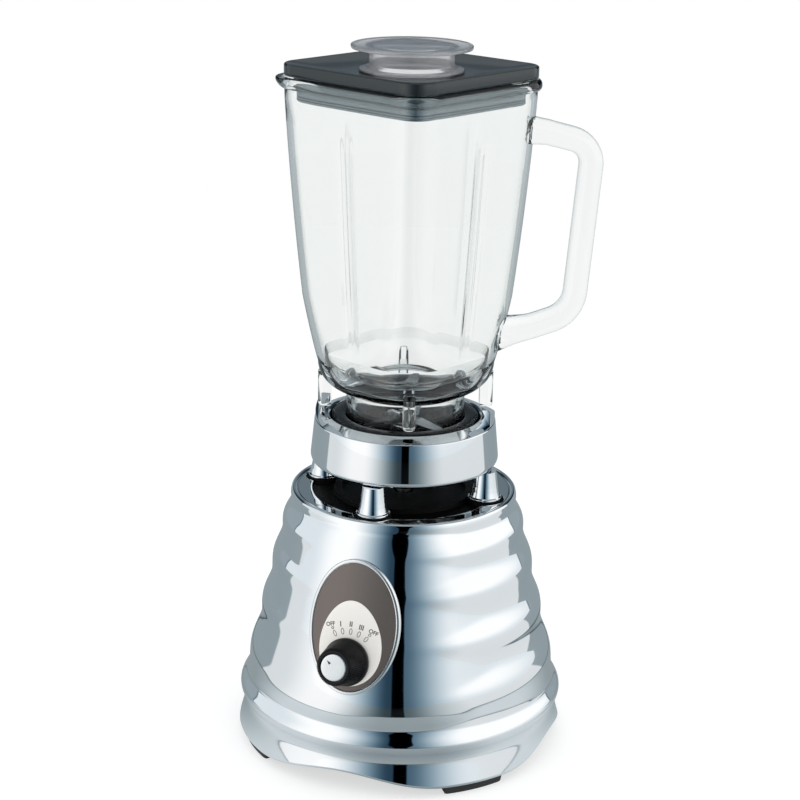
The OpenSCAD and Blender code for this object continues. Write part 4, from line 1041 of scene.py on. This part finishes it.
def make_jar_lugs():
    """A glass foot under each corner: round outside, square where it runs into the jar."""
    inner, outer, width = 38.9, 45.9, 6.4
    foot, top = COLLAR_TOP + 4.4, JAR_Z + 9
    outline = filleted([(inner, -width / 2, 0), (outer, -width / 2, 2.9), (outer, width / 2, 2.9),
                        (inner, width / 2, 0)], 6)
    middle = np.array([(inner + outer) / 2, 0])
    rings = []
    for z, shrink in ((foot, 0.8), (foot + 0.3, 0.9), (foot + 0.9, 0.98), (foot + 1.6, 1),
                      (top - 3, 1), (top, 1)):
        rings.append([(x, y, z) for x, y in middle + (outline - middle) * shrink])
    lugs = skin("lugs", rings, GLASS, looped=False)
    return RING_OF_COPIES.grow(lugs, 60, first_turn=TURN / 8 + JAR_TURN)


def make_jar():
    """Jar with its handle and lugs as one glass."""
    jar = make_glass_body()
    for part in (make_handle(), make_jar_lugs()):
        cut(part, throat_filler())
        cut(jar, part, "UNION")
    jar.data.set_sharp_from_angle(angle=radians(60))
    mount(jar, "jar", "glass", "glass_jar")


def throat_filler():
    """The jar's own inside as a solid, so that nothing joined to it pokes through the wall."""
    levels = [(JAR_Z + 6, 34, 30)]
    inset = JAR_WALL / 2
    levels += [(BODY_Z + BODY_H * t, jar_half(t) - inset, jar_corner(t) - inset)
               for t in np.linspace(0, 1, 20)]
    rings = [jar_ring_points(round_turn(96), *level) for level in levels]
    return skin("inside", rings, GLASS, looped=False)


# --- blade unit, lid and cap

def make_collar():
    """Threaded collar with grips moulded round it."""
    low = node_box("base_collar")[0][2]
    profile = [(18, 0, 0), (36.2, 0, 0), (36.9, 0.3, 0), (37.4, 1.6, 0.2), (37.4, 2.4, 1),
               (37.4, 9, 1), (37.4, 15.6, 1), (37.4, 16.6, 0.3), (37.5, 17.2, 0),
               (38.3, 17.9, 0), (38.55, 18.4, 0), (38.55, 20.5, 0), (38.2, 20.9, 0),
               (32, 20.95, 0), (31.6, 20.7, 0), (31.4, 20.2, 0), (31.4, 12, 0), (31.4, 3.05, 0),
               (18, 3.05, 0)]
    collar = ribbed("base_collar", [(r, low + z, 1.1 * depth) for r, z, depth in profile],
                    ribs=24, steps=14, share=-0.6, edge=1.6, crown=0.6)
    mount(collar, "jar", "black_matte", "base_collar")


def make_lid():
    """Lid with a sunken top round the filler hole, and a plug with four sealing ribs."""
    under, dish = LID_TOP_Z - LID_EDGE, LID_TOP_Z - LID_DISH
    plug_foot = under - PLUG_DEPTH
    quarter = np.concatenate([np.linspace(-30, 30, 20)[:-1], np.linspace(30, 60, 34)[:-1]])
    angle = np.sort(four_sides(quarter) % TURN)
    rings = []

    def add(half, corner, z, share=1.0, hole_r=22.8):
        """A ring part of the way from a round hole to a rounded square."""
        reach = hole_r + (square_reach(half, corner, angle) - hole_r) * share
        rings.append(ring_at(reach, angle + JAR_TURN, z))

    for r, z in ((22.05, under), (22.05, dish - 0.6), (22.25, dish - 0.15), (22.8, dish)):
        add(LID_HALF, LID_CORNER, z, 0, r)
    for share, low in ((0.25, LID_DISH), (0.35, 3.5), (0.5, 3.0), (0.65, 2.3), (0.8, 1.5),
                       (0.92, 0.75), (1, 0.3)):
        add(LID_HALF - 2.6, LID_CORNER - 2.6, LID_TOP_Z - low, share)
    rounded = [(1.8, LID_TOP_Z - 0.08)]
    rounded += [(1.1 - 1.1 * sin(a), LID_TOP_Z - 1.13 + 1.1 * cos(a))
                for a in np.radians([15, 40, 65, 90])]
    for inset, z in rounded + [(0, under + 0.8), (0.25, under + 0.2), (0.8, under)]:
        add(LID_HALF - inset, LID_CORNER - inset, z)
    core, core_corner = 42.9, 10
    rib, rib_corner, pitch = 45.2, 11.5, PLUG_DEPTH / 4
    add(core, core_corner, under)
    for i in range(3, -1, -1):
        low, drawn_in = plug_foot + pitch * (i + 0.35), 0.9 * (3 - i)
        add(core, core_corner, low + pitch * 0.5)
        for inset, z in ((0.35, 0.42), (0, 0.3), (0.15, 0.08)):
            add(rib - drawn_in - inset, rib_corner - drawn_in - inset, low + pitch * z)
        add(core, core_corner, low)
    for inset, z in ((0, plug_foot + 0.6), (0.6, plug_foot + 0.03), (2.4, plug_foot + 0.03),
                     (3, plug_foot + 0.5), (3, under - 0.4), (3.6, under)):
        add(core - inset, core_corner - inset, z)
    for share in (0.7, 0.4, 0.15):
        add(core - 3.6, core_corner - 3.6, under, share)
    mount(skin("jar_lid", rings, LID_BLACK, sharp_deg=42), "lid", "black_gloss", "jar_lid")


def make_cap():
    """Clear measuring cap: a cup with a stepped foot ring and a broad thin top."""
    low, high = node_box("feeder_cap")
    foot, top = low[2], high[2]
    seat = foot + 10
    outline = filleted([
        (19.5, foot, 0.5), (21.4, foot, 0.5), (21.5, seat - 0.6, 0.3), (21.5, seat, 0.2),
        (26.4, seat, 0.4), (26.4, seat + 1.2, 0.5), (23.4, seat + 1.7, 0.5),
        (22.6, seat + 2.6, 0.6), (21.5, seat + 3.2, 0.8), (21.5, top - 3.2, 1.2),
        (23.4, top - 2.0, 0.6), (30.6, top - 1.95, 0.5), (30.75, top - 0.3, 0.5),
        (30.2, top - 0.02, 0.5), (29.2, top - 0.02, 0.3), (28.6, top - 0.5, 0.5),
        (24, top - 0.6, 0), (0, top - 0.6, 0), (0, top - 2, 0), (18.3, top - 2, 1),
        (19.5, top - 3.2, 1)], 5)
    mount(revolve("feeder_cap", outline, CLEAR, 160), "cap", "clear_plastic", "feeder_cap")


def make_works():
    """The blade unit and the parts in the open under the jar, with their edges rounded."""
    for node, finish, body, slot, width in (
            ("top_housing", DULL_BLACK, "base", "black_matte", 0.5),
            ("bottom_cover", SATIN_BLACK, "base", "black_matte", 0.4),
            ("drive_stud", STEEL, "rotor", "steel", 0.3),
            ("drive_socket", STEEL, "blades", "steel", 0.3),
            ("upper_blade", BLADE_STEEL, "blades", "steel", 0.25),
            ("lower_blade", BLADE_STEEL, "blades", "steel", 0.25),
            ("blade_nut", STEEL, "blades", "steel", 0.3),
            ("blade_bearing", BLADE_STEEL, "jar", "steel", 0.3),
            ("cord_bushing", SATIN_BLACK, "base", "black_matte", 0.4)):
        softened(node, finish, body, slot, width)


def finish_inner_parts():
    """Parts that stay as the frame has them, each with a finish of its own."""
    for finish, nodes in (
            (STEEL, "cover_screws post_screws switch_nut switch_shaft upper_bracket "
                    "lower_bracket motor_bolts motor_shaft blade_shaft"),
            (SATIN_BLACK, "switch_body cooling_fan"),
            (LAMINATIONS, "stator_core armature_core"),
            (COPPER, "field_coils armature_windings"),
            (BRASS, "upper_bearing lower_bearing brush_holders"),
            (CARBON, "carbon_brushes"), (BAR_COPPER, "commutator"), (RUBBER, "sealing_gasket")):
        for node in nodes.split():
            for material_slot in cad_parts[node].material_slots:
                material_slot.material = finish


# --- view and light

CAMERA_BEARING, SLIT_BEARING = radians(19.93), radians(23.5)
DIM = 0.34
STUDIO_STRENGTH = 1.12


def aim_camera():
    """Places the camera by its distance, height, tilt and roll, seen from the handle's side."""
    data = bpy.data.cameras.new("studio_camera")
    data.lens, data.sensor_width = 90.34, 36
    camera = placed("studio_camera", data)
    distance, height = 1.006, 0.5064
    swing, tilt, roll = radians(-0.16), radians(17.61), radians(1.07)
    camera.matrix_world = Matrix.Rotation(CAMERA_BEARING, 4, "Z") \
        @ Matrix.Translation((0, -distance, height)) @ Matrix.Rotation(-swing, 4, "Z") \
        @ Matrix.Rotation(TURN / 4 - tilt, 4, "X") @ Matrix.Rotation(roll, 4, "Z")
    bpy.context.scene.camera = camera


def studio_place(paint):
    """Bearing from the dark slit, flat distance from the axis, and rise above the worktop."""
    x, y, z = paint.axes(Matrix.Rotation(-SLIT_BEARING, 3, "Z"))
    flat = (x * x + y * y) ** 0.5
    return x.bearing_from(0 - y), flat, z.bearing_from(flat)


def studio_walls(across, rise):
    """Brightness of the walls: each rises to white away from the dark slit between them."""
    high = rise.swing(3, 30)
    slit = high * radians(4.5) + radians(1.6)
    right = across.step(slit, slit + radians(1)) * (0.15 + 0.85 * across.swing(2, 46))
    other = 0 - across
    slit = high * radians(4) + radians(6.2)
    left = 0.05 * other.step(slit, slit + radians(1.2)) \
        + 0.95 * other.swing(9, 54) * (1 - 0.25 * other.swing(65, 95))
    return left + right * (0.78 + 0.22 * rise.swing(0, 14))


def hemmed(lit, inside, outside):
    """Two levels with a thin dark hem where one meets the other."""
    return (outside + lit * (inside - outside)) * (1 - 3 * lit * (1 - lit))


def ray(paint, kind):
    """What the light path says of the ray that meets the surface."""
    return paint.node("ShaderNodeLightPath", output=kind)


def seen_through(paint):
    """1 for what is seen straight through glass, less where it is mirrored on the way."""
    return ray(paint, "Is Transmission Ray") * (1 - 0.75 * ray(paint, "Glossy Depth").clamped())


def paint_studio():
    """Light of the studio: two white walls with a slit between them, and a dark band behind."""
    paint = Paint("studio_light", base_color=(0, 0, 0, 1), roughness=1.0,
                  specular_ior_level=0.0, emission_strength=STUDIO_STRENGTH)
    across, flat, rise = studio_place(paint)
    round_by = across.absolute()
    lit = (1 - round_by.swing(120, 122.5)) * (1 - rise.swing(46, 48.5))
    band = round_by.swing(121, 126) * rise.swing(15, 17) * (1 - rise.swing(36, 40))
    beyond = DIM * (1 - band * (0.92 - 0.42 * round_by.swing(150, 172)))
    soft, through = ray(paint, "Is Diffuse Ray"), seen_through(paint)
    cast = 1 - soft - through
    level = cast * hemmed(lit, studio_walls(across, rise), beyond) + soft * 1.08 \
        + through / STUDIO_STRENGTH
    cool = cast * (0.5 + 0.5 * lit)
    paint.glow(level, 1 + 0.3 * cool, 1 + 0.02 * cool, 1 - 0.14 * cool)
    return paint.material


def paint_sweep():
    """Worktop: white to the eye; to the chrome, a painted pool of shade round the object with
    paler walls beyond it.
    """
    paint = Paint("white_sweep", base_color=(0.5, 0.5, 0.5, 1), roughness=0.8,
                  specular_ior_level=0.1, emission_strength=1.0)
    across, flat, rise = studio_place(paint)
    shown = ray(paint, "Is Camera Ray") + seen_through(paint)
    round_by = across.absolute()
    # Painted shade: what the chrome mirrors of the floor is dark within about 0.3 m of the axis,
    # lighter towards the sides.
    sides = round_by.swing(10, 50) * (1 - round_by.swing(70, 115))
    walls = DIM + (1 - round_by.swing(107, 109)) * (studio_walls(across, rise) - DIM)
    reach = flat + 0.09 * round_by.swing(12, 40)
    mirrored = hemmed(reach.step(0.292, 0.304), walls, 0.17 + 0.36 * sides)
    away = flat.step(0.22, 0.6)
    soft = ray(paint, "Is Diffuse Ray")
    cast = 1 - shown - soft
    # The glow seen by the eye is weaker near the object: painted shade that deepens its real
    # shadow there.
    paint.glow(shown * (0.62 + 0.38 * away) + soft * 0.95 + cast * mirrored,
               1 + 0.16 * cast, 1, 1 - 0.06 * cast)
    paint.feed("Base Color", paint.grey(shown * (0.5 - 0.5 * away)
                                        + 0.2 * cast * (1 - reach.step(0.28, 0.3))))
    return paint.material


def staged(name, points, faces, finish):
    """A part of the studio, in metres."""
    part = placed(name, bpy.data.meshes.new(name))
    part.data.from_pydata(points, [], faces)
    part.data.materials.append(finish)
    return part


def build_studio():
    """White sweep inside a shell of light that only the object sees."""
    scene = bpy.context.scene
    scene.view_settings.view_transform = "Standard"
    scene.world = bpy.data.worlds.new("studio")
    scene.world.use_nodes = True
    scene.world.node_tree.nodes["Background"].inputs["Color"].default_value = (1, 1, 1, 1)

    radius, steps, levels = 1.25, 96, 24
    domed = [ring_at(radius * cos(rise), round_turn(steps), radius * sin(rise))
             for rise in np.arange(levels) / levels * TURN / 4]
    top = levels * steps
    faces = ring_faces(levels, steps, False)
    faces += [(top - steps + i, top - steps + (i + 1) % steps, top) for i in range(steps)]
    shell = staged("light_shell", [*np.concatenate(domed).tolist(), (0, 0, radius)], faces,
                   paint_studio())
    shell.visible_camera = shell.visible_shadow = False
    staged("floor", domed[0].tolist(), [tuple(range(steps))], paint_sweep())


aim_camera()
build_studio()
make_housing()
make_feet()
make_posts()
make_ring()
make_dial()
make_knob()
make_jar()
make_collar()
make_lid()
make_cap()
make_works()
finish_inner_parts()
